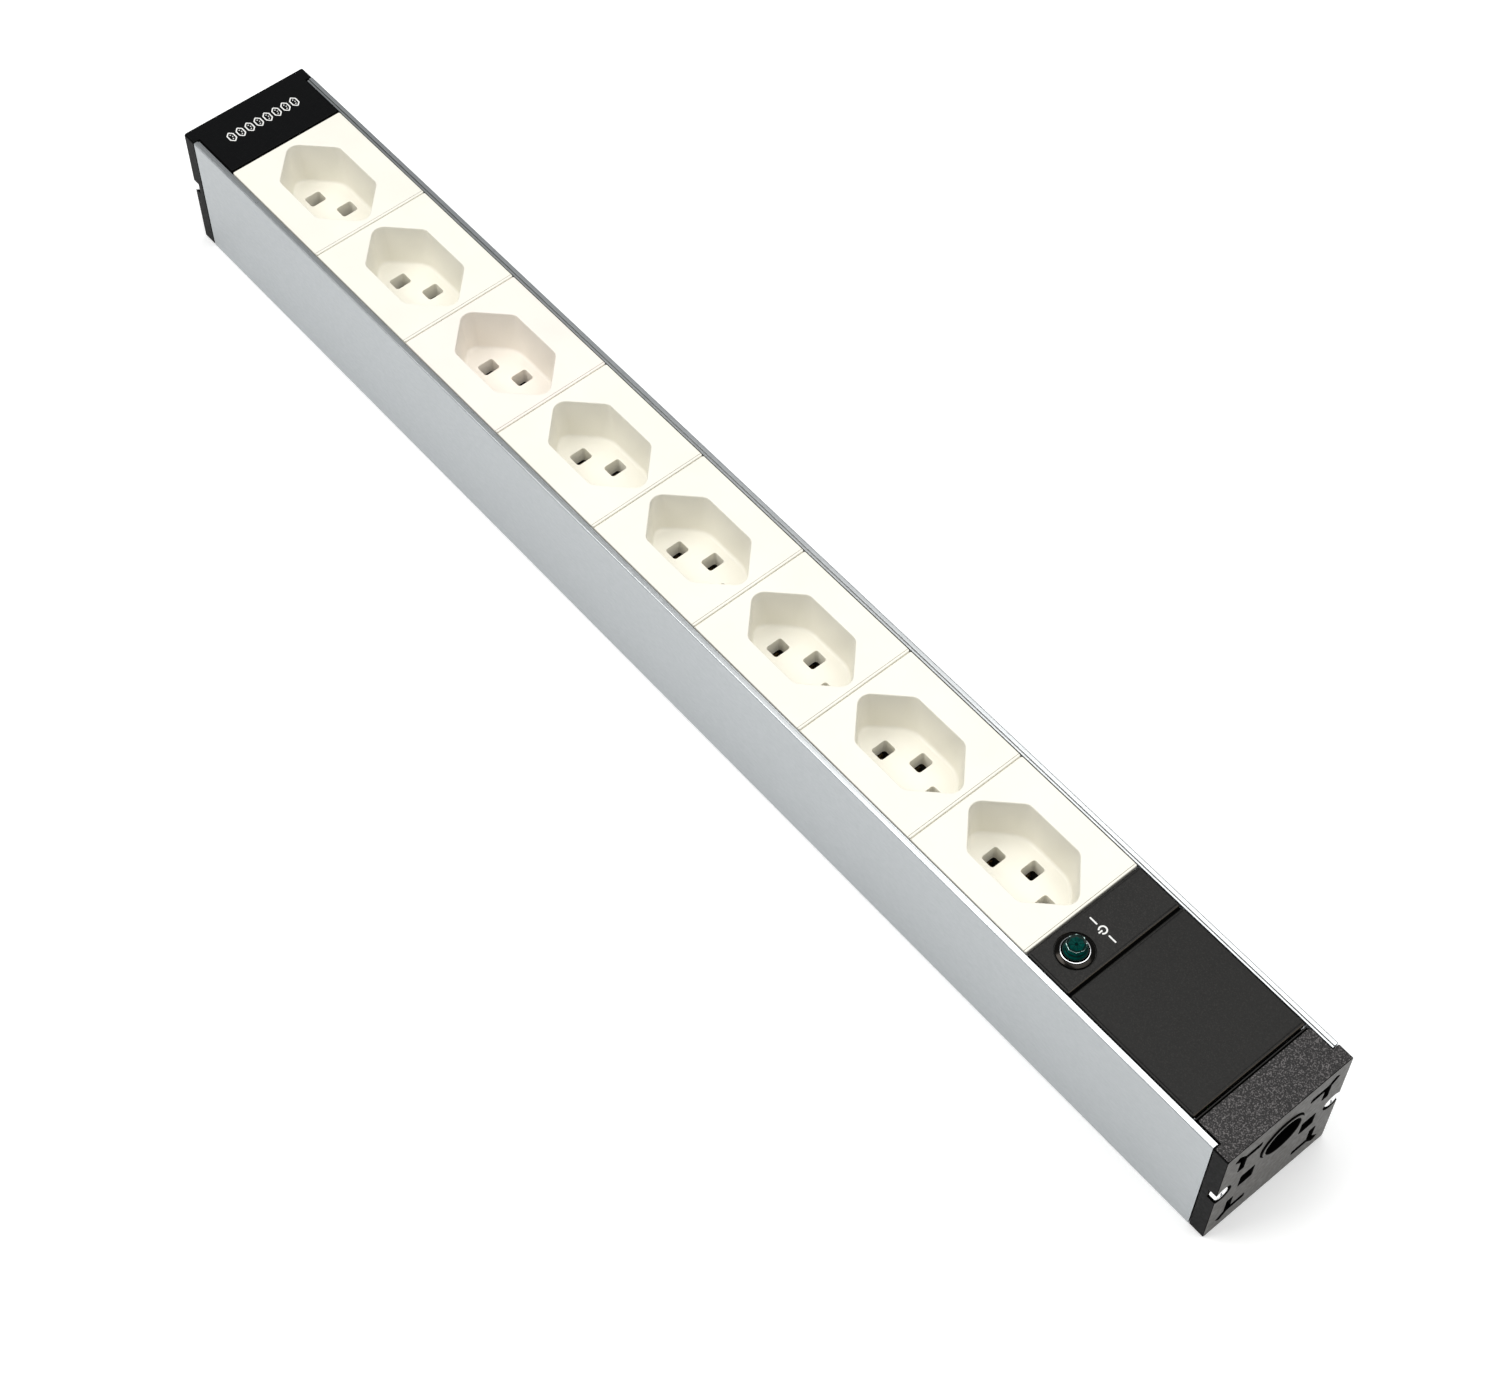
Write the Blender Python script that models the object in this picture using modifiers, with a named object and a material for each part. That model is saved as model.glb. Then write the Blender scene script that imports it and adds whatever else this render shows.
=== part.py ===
"""Desk power strip: eight type 23 sockets, a pilot lamp and a blank plate in an aluminium channel.

The frame: +X runs along the strip to the cable end, +Y across it to the earth pin's side, +Z up.
The origin is under the middle of the strip, on the surface that it stands on.
"""

import math

import bmesh
import bpy
from mathutils import Euler, Matrix, Vector

MM = 0.001

# Driving dimensions
PITCH = 43.4 * MM
SOCKETS = 8
CLOSED_PAD = 22.3 * MM
LAMP_ZONE = 15.6 * MM
BLANK_ZONE = 43.4 * MM
CABLE_PAD = 14.0 * MM
WIDTH = 44.0 * MM
HEIGHT = 45.0 * MM
FLANGE = 4.9 * MM
COLLAR_HEIGHT = 0.45 * MM
GAP = 0.3 * MM

LENGTH = CLOSED_PAD + SOCKETS * PITCH + LAMP_ZONE + BLANK_ZONE + CABLE_PAD
X_CLOSED = -(LENGTH + COLLAR_HEIGHT) / 2
X_CABLE = X_CLOSED + LENGTH
X_SOCKETS = X_CLOSED + CLOSED_PAD
X_LAMP = X_SOCKETS + SOCKETS * PITCH
X_BLANK = X_LAMP + LAMP_ZONE

# Channel section
WALL = 2.0 * MM
FLOOR = 3.0 * MM
INNER = WIDTH / 2 - WALL
LEDGE_TOP = 42.7 * MM
LEDGE_BOTTOM = 41.5 * MM
LEDGE_INNER = 18.6 * MM
PORT_Y = 19.6 * MM
PORT_Z = 23.2 * MM
PORT_RADIUS = 1.25 * MM
PORT_OUTER = 2.1 * MM

# Cover plates, which lie on the ledges
PLATE_TOP = 44.8 * MM
PLATE_THICK = 1.8 * MM
PLATE_BOTTOM = PLATE_TOP - PLATE_THICK
PLATE_HALF_Y = 19.7 * MM
PLATE_CORNER = 0.5 * MM
SKIRT_OVERLAP = 0.9 * MM
TONGUE_THICK = 0.5 * MM
SOCKET_SKIRT_LENGTH = 26.0 * MM

# Socket recess: a hexagon drawn out along X, with 45 degree slants
RECESS_DEPTH = 15.0 * MM
RECESS_FLOOR = PLATE_TOP - RECESS_DEPTH
RECESS_TIP, RECESS_FLAT = 20.5 * MM, 10.95 * MM
FLOOR_TIP, FLOOR_FLAT = 19.7 * MM, 10.6 * MM
TIP_RADIUS = 3.6 * MM
RIM_RADIUS = 3.0 * MM
FLOOR_RADIUS = 9.0 * MM
CUP_WALL = 1.5 * MM
CUP_BOTTOM = 24.3 * MM

# Pins of the socket: line, neutral and earth
PIN_X = 9.5 * MM
EARTH_Y = 5.0 * MM
PIN_HOLE = (4.3 * MM, 5.3 * MM)
PIN_HOLE_CORNER = 0.3 * MM

# Contact rails
RAIL_THICK = 0.8 * MM
LIVE_RAIL_Z = 7.4 * MM
EARTH_RAIL_Z = 5.4 * MM
LINE_STRIP = (-6.3 * MM, -2.7 * MM)
NEUTRAL_STRIP = (8.0 * MM, 11.0 * MM)
EARTH_STRIP = (2.5 * MM, 7.5 * MM)
LEAF_GAP = 4.4 * MM
LEAF_THICK = 0.6 * MM
LEAF_WIDTH = 5.0 * MM
LEAF_TOP = 22.4 * MM
RAIL_END = X_LAMP + 2.5 * MM

# Pilot lamp
LAMP_X = X_CLOSED + 377.0 * MM
LAMP_Y = -9.9 * MM
LAMP_SEAT_RADIUS = 5.45 * MM
LAMP_SEAT_DEPTH = 0.5 * MM
LAMP_HOLE_RADIUS = 3.9 * MM
LAMP_LENGTH = 20.0 * MM
TURN_STEPS = 24

# End cap screws
HEAD_RADIUS = 2.35 * MM
NOTCH_RADIUS = 3.15 * MM
NOTCH_DEPTH = 2.6 * MM

# Cable hole
CABLE_Z = 30.4 * MM
CABLE_RADIUS = 6.2 * MM
BUSHING_RADIUS = 7.3 * MM

# Terminal block and the earth lug's screw beside it
BLOCK_X = X_BLANK + 20.0 * MM
BLOCK_HALF_X = 10.0 * MM
POLES_Y = (-8.5 * MM, 0.0, 8.5 * MM)
POLE_Z = 9.6 * MM
EARTH_SCREW_X = BLOCK_X + BLOCK_HALF_X + 7.0 * MM
EARTH_SCREW_Y = 13.0 * MM
EARTH_SCREW_HOLE = 2.0 * MM

# Turns a flat outline drawn as (Y, Z) so that its thickness runs along X
ACROSS = Euler((math.pi / 2, 0, math.pi / 2))


def clear_scene():
    for obj in list(bpy.data.objects):
        bpy.data.objects.remove(obj)


def new_collection(name):
    collection = bpy.data.collections.new(name)
    bpy.context.scene.collection.children.link(collection)
    return collection


clear_scene()
PARTS = new_collection("desk_power_strip")
CUTTERS = new_collection("cutters")


def material(name, colour, roughness, metallic=0.0):
    made = bpy.data.materials.new(name)
    made.use_nodes = True
    shader = made.node_tree.nodes["Principled BSDF"]
    shader.inputs["Base Color"].default_value = (*colour, 1)
    shader.inputs["Roughness"].default_value = roughness
    shader.inputs["Metallic"].default_value = metallic
    made.diffuse_color = (*colour, 1)
    return made


ALUMINIUM = material("anodised_aluminium", (0.62, 0.64, 0.66), 0.35, 1.0)
WHITE = material("white_plastic", (0.90, 0.89, 0.83), 0.4)
BLACK = material("black_plastic", (0.035, 0.034, 0.033), 0.5)
IVORY = material("carrier_plastic", (0.25, 0.25, 0.24), 0.6)
BRASS = material("brass", (0.72, 0.52, 0.24), 0.35, 1.0)
STEEL = material("zinc_plated_steel", (0.75, 0.75, 0.76), 0.25, 1.0)
CHROME = material("chrome", (0.80, 0.80, 0.81), 0.1, 1.0)
GREEN = material("green_lens", (0.0, 0.09, 0.06), 0.15)
FIBRE = material("insulating_sheet", (0.55, 0.50, 0.40), 0.7)
BROWN_WIRE = material("brown_insulation", (0.16, 0.06, 0.02), 0.5)
BLUE_WIRE = material("blue_insulation", (0.03, 0.12, 0.45), 0.5)
EARTH_WIRE = material("green_yellow_insulation", (0.35, 0.45, 0.04), 0.5)


# ---------------------------------------------------------------- outlines


def rounded(corners, radii, steps=4):
    """A closed outline with each corner turned into an arc; a radius of 0 keeps the corner."""
    points = []
    count = len(corners)
    for i, (corner, radius) in enumerate(zip(corners, radii)):
        here = Vector(corner)
        if radius == 0:
            points.append(here)
            continue
        back = (Vector(corners[i - 1]) - here).normalized()
        ahead = (Vector(corners[(i + 1) % count]) - here).normalized()
        half = back.angle(ahead) / 2
        centre = here + (back + ahead).normalized() * radius / math.sin(half)
        start = here + back * radius / math.tan(half) - centre
        turn = start.angle_signed(here + ahead * radius / math.tan(half) - centre)
        for step in range(steps + 1):
            points.append(centre + Matrix.Rotation(-turn * step / steps, 2) @ start)
    return points


def rectangle(low, high, radius=0.0, steps=3):
    corners = [(low[0], low[1]), (high[0], low[1]), (high[0], high[1]), (low[0], high[1])]
    return rounded(corners, [radius] * 4, steps)


def hexagon(tip, flat, tip_radius, flat_radius):
    shoulder = tip - flat
    corners = [
        (tip, 0),
        (shoulder, flat),
        (-shoulder, flat),
        (-tip, 0),
        (-shoulder, -flat),
        (shoulder, -flat),
    ]
    radii = [tip_radius, flat_radius, flat_radius] * 2
    return rounded(corners, radii)


def circle(centre, radius, steps=24):
    turns = [2 * math.pi * step / steps for step in range(steps)]
    return [Vector((centre[0] + radius * math.cos(t), centre[1] + radius * math.sin(t))) for t in turns]


def arc(centre, radius, start, end, steps):
    """Points of an arc between two angles in degrees."""
    turns = [math.radians(start + (end - start) * step / steps) for step in range(steps + 1)]
    return [Vector((centre[0] + radius * math.cos(t), centre[1] + radius * math.sin(t))) for t in turns]


# ------------------------------------------------------------------ solids


def add(name, mesh, surface, collection=PARTS, location=(0, 0, 0)):
    obj = bpy.data.objects.new(name, mesh)
    obj.location = location
    collection.objects.link(obj)
    if surface is not None:
        mesh.materials.clear()
        mesh.materials.append(surface)
    if collection is CUTTERS:
        obj.hide_render = True
        obj.display_type = "WIRE"
    return obj


def evaluated_mesh(obj):
    bpy.context.view_layer.update()
    graph = bpy.context.evaluated_depsgraph_get()
    return bpy.data.meshes.new_from_object(obj.evaluated_get(graph))


def tidy_mesh(mesh, weld=1e-6):
    shell = bmesh.new()
    shell.from_mesh(mesh)
    bmesh.ops.remove_doubles(shell, verts=shell.verts, dist=weld)
    bmesh.ops.recalc_face_normals(shell, faces=shell.faces)
    shell.to_mesh(mesh)
    shell.free()
    return mesh


def from_curve(name, curve, surface, collection, location, rotation):
    """The mesh of a curve object, with its caps welded, in place of the curve."""
    guide = bpy.data.objects.new(name + "_curve", curve)
    guide.location = location
    guide.rotation_euler = rotation
    collection.objects.link(guide)
    mesh = tidy_mesh(evaluated_mesh(guide))
    place = guide.matrix_world.copy()
    bpy.data.objects.remove(guide)
    obj = add(name, mesh, surface, collection)
    obj.matrix_world = place
    return obj


def extruded(name, outlines, thick, surface, location=(0, 0, 0), rotation=(0, 0, 0), collection=PARTS):
    """Flat closed outlines with a thickness, centred on the location."""
    curve = bpy.data.curves.new(name, "CURVE")
    curve.dimensions = "2D"
    curve.fill_mode = "BOTH"
    curve.extrude = thick / 2
    for outline in outlines:
        spline = curve.splines.new("POLY")
        spline.points.add(len(outline) - 1)
        for point, place in zip(spline.points, outline):
            point.co = (place[0], place[1], 0, 1)
        spline.use_cyclic_u = True
    return from_curve(name, curve, surface, collection, location, rotation)


def box(name, low, high, surface, collection=PARTS):
    """A box between two corners, with its origin at its centre."""
    size = Vector(high) - Vector(low)
    shell = bmesh.new()
    bmesh.ops.create_cube(shell, size=1)
    bmesh.ops.scale(shell, vec=size, verts=shell.verts)
    mesh = bpy.data.meshes.new(name)
    shell.to_mesh(mesh)
    shell.free()
    return add(name, mesh, surface, collection, (Vector(low) + Vector(high)) / 2)


def boxes(name, corners, surface, collection=CUTTERS):
    """Several separate boxes in one object, as the tool of one Boolean."""
    shell = bmesh.new()
    for low, high in corners:
        made = bmesh.ops.create_cube(shell, size=1)["verts"]
        bmesh.ops.scale(shell, vec=Vector(high) - Vector(low), verts=made)
        bmesh.ops.translate(shell, vec=(Vector(high) + Vector(low)) / 2, verts=made)
    mesh = bpy.data.meshes.new(name)
    shell.to_mesh(mesh)
    shell.free()
    return add(name, mesh, surface, collection)


def turned(name, profile, surface, location=(0, 0, 0), rotation=(0, 0, 0), steps=TURN_STEPS):
    """A profile of (radius, height) points, listed down the outer side, spun about Z."""
    mesh = bpy.data.meshes.new(name)
    edges = [(i, i + 1) for i in range(len(profile) - 1)]
    if profile[0][0] > 0:
        edges.append((len(profile) - 1, 0))
    mesh.from_pydata([(radius, 0, height) for radius, height in profile], edges, [])
    obj = add(name, mesh, surface, PARTS, location)
    obj.rotation_euler = rotation
    spin = obj.modifiers.new("spin", "SCREW")
    spin.steps = steps
    spin.render_steps = steps
    spin.use_merge_vertices = True
    spin.merge_threshold = 1e-5
    spin.use_smooth_shade = False
    return obj


def boolean(obj, operation, tool):
    step = obj.modifiers.new(operation.lower(), "BOOLEAN")
    step.operation = operation
    step.object = tool
    step.solver = "EXACT"


def cut(obj, tool):
    boolean(obj, "DIFFERENCE", tool)


def join(obj, tool):
    boolean(obj, "UNION", tool)


def smooth(obj, degrees=35):
    obj.data.shade_smooth()
    obj.data.set_sharp_from_angle(angle=math.radians(degrees))


def wire(name, route, radius, surface):
    """A round wire through route points, on a smooth curve sampled along each stretch."""
    points = smooth_route([Vector(point) for point in route])
    curve = bpy.data.curves.new(name, "CURVE")
    curve.dimensions = "3D"
    curve.bevel_depth = radius
    curve.bevel_resolution = 2
    curve.use_fill_caps = True
    spline = curve.splines.new("POLY")
    spline.points.add(len(points) - 1)
    for point, place in zip(spline.points, points):
        point.co = (*place, 1)
    obj = from_curve(name, curve, surface, PARTS, (0, 0, 0), (0, 0, 0))
    smooth(obj)
    return obj


def smooth_route(route, steps=4):
    """Catmull-Rom points through the route."""
    ends = [2 * route[0] - route[1], *route, 2 * route[-1] - route[-2]]
    points = []
    for a, b, c, d in zip(ends, ends[1:], ends[2:], ends[3:]):
        for step in range(steps):
            t = step / steps
            pull = (c - a) * t + (2 * a - 5 * b + 4 * c - d) * t**2 + (3 * b - a - 3 * c + d) * t**3
            points.append(b + pull / 2)
    return [*points, route[-1]]


# ----------------------------------------------------------------- channel


def channel_outline():
    """The right half of the U section with its ledge and screw port, then its mirror image."""
    edge = 0.3 * MM
    step_in, step_down = 0.6 * MM, 0.4 * MM
    base_edge = 0.5 * MM
    port = (PORT_Y, PORT_Z)
    wall_turn = math.degrees(math.acos((INNER - PORT_Y) / PORT_OUTER))
    half = [
        (WIDTH / 2 - base_edge, 0),
        (WIDTH / 2, base_edge),
        (WIDTH / 2, HEIGHT - edge),
        (WIDTH / 2 - edge, HEIGHT),
        (INNER + step_in, HEIGHT),
        (INNER + step_in, HEIGHT - step_down),
        (INNER, HEIGHT - step_down),
        (INNER, LEDGE_TOP),
        (LEDGE_INNER, LEDGE_TOP),
        (LEDGE_INNER, LEDGE_BOTTOM),
        (INNER, LEDGE_BOTTOM),
        *arc(port, PORT_OUTER, wall_turn, 165, 4),
        *arc(port, PORT_RADIUS, 150, -150, 10),
        *arc(port, PORT_OUTER, 195, 360 - wall_turn, 4),
        (INNER, FLOOR + base_edge),
        (INNER - base_edge, FLOOR),
    ]
    return half + [(-y, z) for y, z in reversed(half)]


def build_channel():
    low, high = X_CLOSED + FLANGE + GAP, X_CABLE - FLANGE - GAP
    channel = extruded(
        "aluminium_channel",
        [channel_outline()],
        high - low,
        ALUMINIUM,
        ((low + high) / 2, 0, 0),
        ACROSS,
    )
    seat = extruded(
        "earth_screw_seat",
        [circle((EARTH_SCREW_X, EARTH_SCREW_Y), EARTH_SCREW_HOLE, 12)],
        4 * MM,
        None,
        (0, 0, FLOOR),
        collection=CUTTERS,
    )
    cut(channel, seat)


# ---------------------------------------------------------------- end caps


def bracket_slot(side, level):
    """One Y-shaped bracket slot in (Y, Z); side and level are +1 or -1 and pick the corner."""
    arm, start = 1.05 * MM, 8.65 * MM
    y, z = 14.9 * MM, 15.1 * MM
    reach, near, shift = 2.8 * MM, 0.31 * MM, arm / math.sqrt(2)
    points = [
        (start, z - arm),
        (y - arm, z - arm),
        (y - arm, start),
        (y + arm, start),
        (y + arm, z - shift + near),
        (y + reach + shift, z + reach - shift),
        (y + reach - shift, z + reach + shift),
        (y - shift + near, z + arm),
        (start, z + arm),
    ]
    return [(side * py, HEIGHT / 2 + level * pz) for py, pz in points]


def flange_cutters(name, x_outer, way):
    """Everything cut through the flange of an end cap; way is the cap's outward X direction."""
    middle = (x_outer - way * FLANGE / 2, 0, 0)
    sides = [(side, level) for side in (1, -1) for level in (1, -1)]
    through = [bracket_slot(side, level) for side, level in sides]
    for side in (1, -1):
        low, high = (side * 10.9 - 2.45) * MM, (side * 10.9 + 2.45) * MM
        through.append(rectangle((low, 19.0 * MM), (high, 25.0 * MM)))
        through.append(circle((side * PORT_Y, PORT_Z), PORT_RADIUS, 12))
    notches = [circle((side * PORT_Y, PORT_Z), NOTCH_RADIUS) for side in (1, -1)]
    floor_x = x_outer - way * NOTCH_DEPTH
    reach = 4 * MM
    return [
        extruded(name + "_slots", through, FLANGE * 2, None, middle, ACROSS, CUTTERS),
        extruded(
            name + "_notches",
            notches,
            reach,
            None,
            (floor_x + way * reach / 2, 0, 0),
            ACROSS,
            CUTTERS,
        ),
    ]


def end_cap(name, x_outer, way, pad):
    """A flange across the channel's end, a pad level with its top, and two webs inside."""
    outline = rectangle((-WIDTH / 2, 0), (WIDTH / 2, HEIGHT), 0.8 * MM, 2)
    cap = extruded(name, [outline], FLANGE, BLACK, (x_outer - way * FLANGE / 2, 0, 0), ACROSS)
    bite = 1.0 * MM
    start, end = x_outer - way * (FLANGE - bite), x_outer - way * pad
    web = 1.2 * MM
    web_y = LEDGE_INNER - GAP
    pad_low = min(start, end), -PLATE_HALF_Y, PLATE_BOTTOM
    pad_high = max(start, end), PLATE_HALF_Y, HEIGHT
    join(cap, box(name + "_pad", pad_low, pad_high, None, CUTTERS))
    webs = []
    for side in (1, -1):
        edges = sorted((side * web_y, side * (web_y - web)))
        end = x_outer - way * (FLANGE + 5.0 * MM)
        low = min(start, end), edges[0], 27.0 * MM
        high = max(start, end), edges[1], PLATE_BOTTOM + 0.8 * MM
        webs.append((low, high))
    join(cap, boxes(name + "_webs", webs, None))
    for tool in flange_cutters(name, x_outer, way):
        cut(cap, tool)
    return cap


def groove_tongue(name, low_x, high_x):
    """A thin shelf along a plate's lower edge that closes the groove to the next plate."""
    low = low_x, -PLATE_HALF_Y, PLATE_BOTTOM
    return box(name, low, (high_x, PLATE_HALF_Y, PLATE_BOTTOM + TONGUE_THICK), None, CUTTERS)


def build_end_caps():
    end_cap("end_cap_closed", X_CLOSED, -1, CLOSED_PAD - GAP)
    cable_pad = 12.8 * MM
    cable = end_cap("end_cap_cable", X_CABLE, 1, cable_pad)
    low_x = X_CABLE - cable_pad
    join(cable, groove_tongue("cable_cap_tongue", low_x - 1.1 * MM, low_x + 1.0 * MM))
    rib_low = low_x - 0.8 * MM, -PLATE_HALF_Y, PLATE_BOTTOM + 0.1 * MM
    rib_high = low_x - 0.4 * MM, PLATE_HALF_Y, PLATE_TOP - 0.4 * MM
    join(cable, box("cable_cap_rib", rib_low, rib_high, None, CUTTERS))
    hole = extruded(
        "cable_way",
        [circle((0, CABLE_Z), BUSHING_RADIUS + GAP)],
        FLANGE * 2,
        None,
        (X_CABLE - FLANGE / 2, 0, 0),
        ACROSS,
        CUTTERS,
    )
    cut(cable, hole)
    round_in = 0.3 * MM
    depth = FLANGE + COLLAR_HEIGHT
    bushing = turned(
        "cable_bushing",
        [
            (CABLE_RADIUS + round_in, 0),
            (BUSHING_RADIUS - round_in, 0),
            (BUSHING_RADIUS, -round_in),
            (BUSHING_RADIUS, -depth),
            (CABLE_RADIUS, -depth),
            (CABLE_RADIUS, -round_in),
        ],
        BLACK,
        (X_CABLE + COLLAR_HEIGHT, 0, CABLE_Z),
        (0, math.pi / 2, 0),
    )
    smooth(bushing)


def build_end_cap_screws():
    """Pan head screws with a cross recess; each one's origin is on its axis, at the head's top."""
    head, shank, length = 2.15 * MM, 0.95 * MM, 11.85 * MM
    profile = [
        (0, 0),
        (1.8 * MM, -0.02 * MM),
        (2.2 * MM, -0.12 * MM),
        (HEAD_RADIUS, -0.4 * MM),
        (HEAD_RADIUS, -head),
        (shank, -head),
        (shank, -length + 0.6 * MM),
        (0, -length),
    ]
    top = NOTCH_DEPTH - GAP - head
    arm, half_width, deep = 1.5 * MM, 0.35 * MM, 1.1 * MM
    quarter_cross = [Vector((arm, -half_width)), Vector((arm, half_width)), Vector((half_width, half_width))]
    cross = [
        Matrix.Rotation(math.radians(90 * quarter + 7), 2) @ point
        for quarter in range(4)
        for point in quarter_cross
    ]
    ends = (("closed", X_CLOSED + top, -1), ("cable", X_CABLE - top, 1))
    for end, x, way in ends:
        for side, sign in (("near", -1), ("far", 1)):
            name = f"end_cap_screw_{end}_{side}"
            place = (x, sign * PORT_Y, PORT_Z)
            facing = (0, way * math.pi / 2, 0)
            screw = turned(name, profile, STEEL, place, facing, 16)
            tool = extruded(name + "_recess", [cross], 2 * deep, None, place, facing, CUTTERS)
            cut(screw, tool)


# ----------------------------------------------------------------- sockets


def loft(name, low_outline, low_z, high_outline, high_z):
    """A closed solid between two outlines with the same number of points."""
    shell = bmesh.new()
    bottom = [shell.verts.new((p[0], p[1], low_z)) for p in low_outline]
    top = [shell.verts.new((p[0], p[1], high_z)) for p in high_outline]
    count = len(bottom)
    for i in range(count):
        j = (i + 1) % count
        shell.faces.new((bottom[i], bottom[j], top[j], top[i]))
    shell.faces.new(bottom)
    shell.faces.new(top)
    bmesh.ops.recalc_face_normals(shell, faces=shell.faces)
    mesh = bpy.data.meshes.new(name)
    shell.to_mesh(mesh)
    shell.free()
    return add(name, mesh, None, CUTTERS)


def pin_places():
    return {"line": (-PIN_X, 0.0), "neutral": (PIN_X, 0.0), "earth": (0.0, EARTH_Y)}


def pin_holes(name):
    half_x, half_y = PIN_HOLE[0] / 2, PIN_HOLE[1] / 2
    outlines = [
        rectangle((x - half_x, y - half_y), (x + half_x, y + half_y), PIN_HOLE_CORNER, 1)
        for x, y in pin_places().values()
    ]
    return extruded(name, outlines, 10 * MM, None, (0, 0, RECESS_FLOOR - 2 * MM), collection=CUTTERS)


def clip_skirts(name, length, middle=0.0):
    """A skirt along each side whose barb snaps under the channel's ledge."""
    outer, inner = LEDGE_INNER - GAP, 16.9 * MM
    barb = INNER - 0.5 * MM
    section = [
        (inner, PLATE_BOTTOM + SKIRT_OVERLAP),
        (inner, 36.0 * MM),
        (outer, 36.0 * MM),
        (outer, 38.0 * MM),
        (barb, 38.8 * MM),
        (barb, LEDGE_BOTTOM - GAP),
        (outer, LEDGE_BOTTOM - GAP),
        (outer, PLATE_BOTTOM + SKIRT_OVERLAP),
    ]
    mirrored = [(-y, z) for y, z in reversed(section)]
    return extruded(name, [section, mirrored], length, None, (middle, 0, 0), ACROSS, CUTTERS)


def socket_face_mesh():
    half_x = PITCH / 2 - GAP / 2
    outline = rectangle((-half_x, -PLATE_HALF_Y), (half_x, PLATE_HALF_Y), PLATE_CORNER)
    middle = (0, 0, PLATE_TOP - PLATE_THICK / 2)
    face = extruded("socket_face", [outline], PLATE_THICK, WHITE, middle)
    cup_tip = RECESS_TIP + CUP_WALL * math.sqrt(2)
    cup_flat = RECESS_FLAT + CUP_WALL
    cup_top = PLATE_BOTTOM + SKIRT_OVERLAP
    cup_outline = hexagon(cup_tip, cup_flat, TIP_RADIUS + CUP_WALL, RIM_RADIUS + CUP_WALL)
    cup_middle = (0, 0, (cup_top + CUP_BOTTOM) / 2)
    cup = extruded(
        "socket_cup", [cup_outline], cup_top - CUP_BOTTOM, None, cup_middle, collection=CUTTERS
    )
    rise = 1.0 * MM
    grow = (RECESS_TIP - FLOOR_TIP) * rise / RECESS_DEPTH
    recess = loft(
        "socket_recess",
        hexagon(FLOOR_TIP, FLOOR_FLAT, TIP_RADIUS, FLOOR_RADIUS),
        RECESS_FLOOR,
        hexagon(RECESS_TIP + grow, RECESS_FLAT + grow / 2, TIP_RADIUS, RIM_RADIUS),
        PLATE_TOP + rise,
    )
    join(face, cup)
    join(face, clip_skirts("socket_skirts", SOCKET_SKIRT_LENGTH))
    cut(face, recess)
    cut(face, pin_holes("socket_pin_holes"))
    return baked(face)


def baked(obj):
    """The finished mesh of a temporary object, which is removed with its tools."""
    mesh = evaluated_mesh(obj)
    mesh.transform(obj.matrix_world)
    tidy_mesh(mesh)
    tools = [step.object for step in obj.modifiers if step.type == "BOOLEAN"]
    for used in [obj, *tools]:
        bpy.data.objects.remove(used)
    return mesh


def socket_carrier_mesh():
    """The insulating block behind a face: a chamber for each clip, and grooves below for the rails."""
    half_x, half_y = PITCH / 2 - 0.5 * MM, 15.5 * MM
    bottom, top = 4.6 * MM, CUP_BOTTOM - GAP
    carrier = box("carrier", (-half_x, -half_y, bottom), (half_x, half_y, top), IVORY)
    past = 1.0 * MM
    spare = 0.35 * MM
    chamber_x = LEAF_GAP / 2 + LEAF_THICK + spare
    live_top = LIVE_RAIL_Z + RAIL_THICK / 2 + spare
    earth_top = EARTH_RAIL_Z + RAIL_THICK / 2 + spare
    chambers = [
        ((x - chamber_x, y - 2.8 * MM, bottom - past), (x + chamber_x, y + 2.8 * MM, top + past))
        for x, y in pin_places().values()
    ]
    grooves = [
        (LINE_STRIP[0], LINE_STRIP[1], live_top),
        (NEUTRAL_STRIP[0], NEUTRAL_STRIP[1], live_top),
        (EARTH_STRIP[0], EARTH_STRIP[1], earth_top),
    ]
    end = half_x + past
    for index, chamber in enumerate(chambers):
        cut(carrier, boxes(f"chamber_{index}", [chamber], None))
    for index, (low_y, high_y, groove_top) in enumerate(grooves):
        low = (-end, low_y - spare, bottom - past)
        high = (end, high_y + spare, groove_top)
        cut(carrier, boxes(f"groove_{index}", [(low, high)], None))
    tab = chamber_x - spare / 2
    tabs = [
        ((PIN_X - tab, 2.0 * MM, bottom - past), (PIN_X + tab, 9.0 * MM, live_top)),
        ((-PIN_X - tab, -4.0 * MM, bottom - past), (-PIN_X + tab, -1.0 * MM, live_top)),
    ]
    cut(carrier, boxes("tab_grooves", tabs, None))
    return baked(carrier)


def build_sockets():
    face = socket_face_mesh()
    carrier = socket_carrier_mesh()
    for number in range(SOCKETS):
        place = (X_SOCKETS + (number + 0.5) * PITCH, 0, 0)
        add(f"socket_face_{number + 1}", face, WHITE, PARTS, place)
        add(f"contact_carrier_{number + 1}", carrier, IVORY, PARTS, place)


# ---------------------------------------------------------- contact rails


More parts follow.
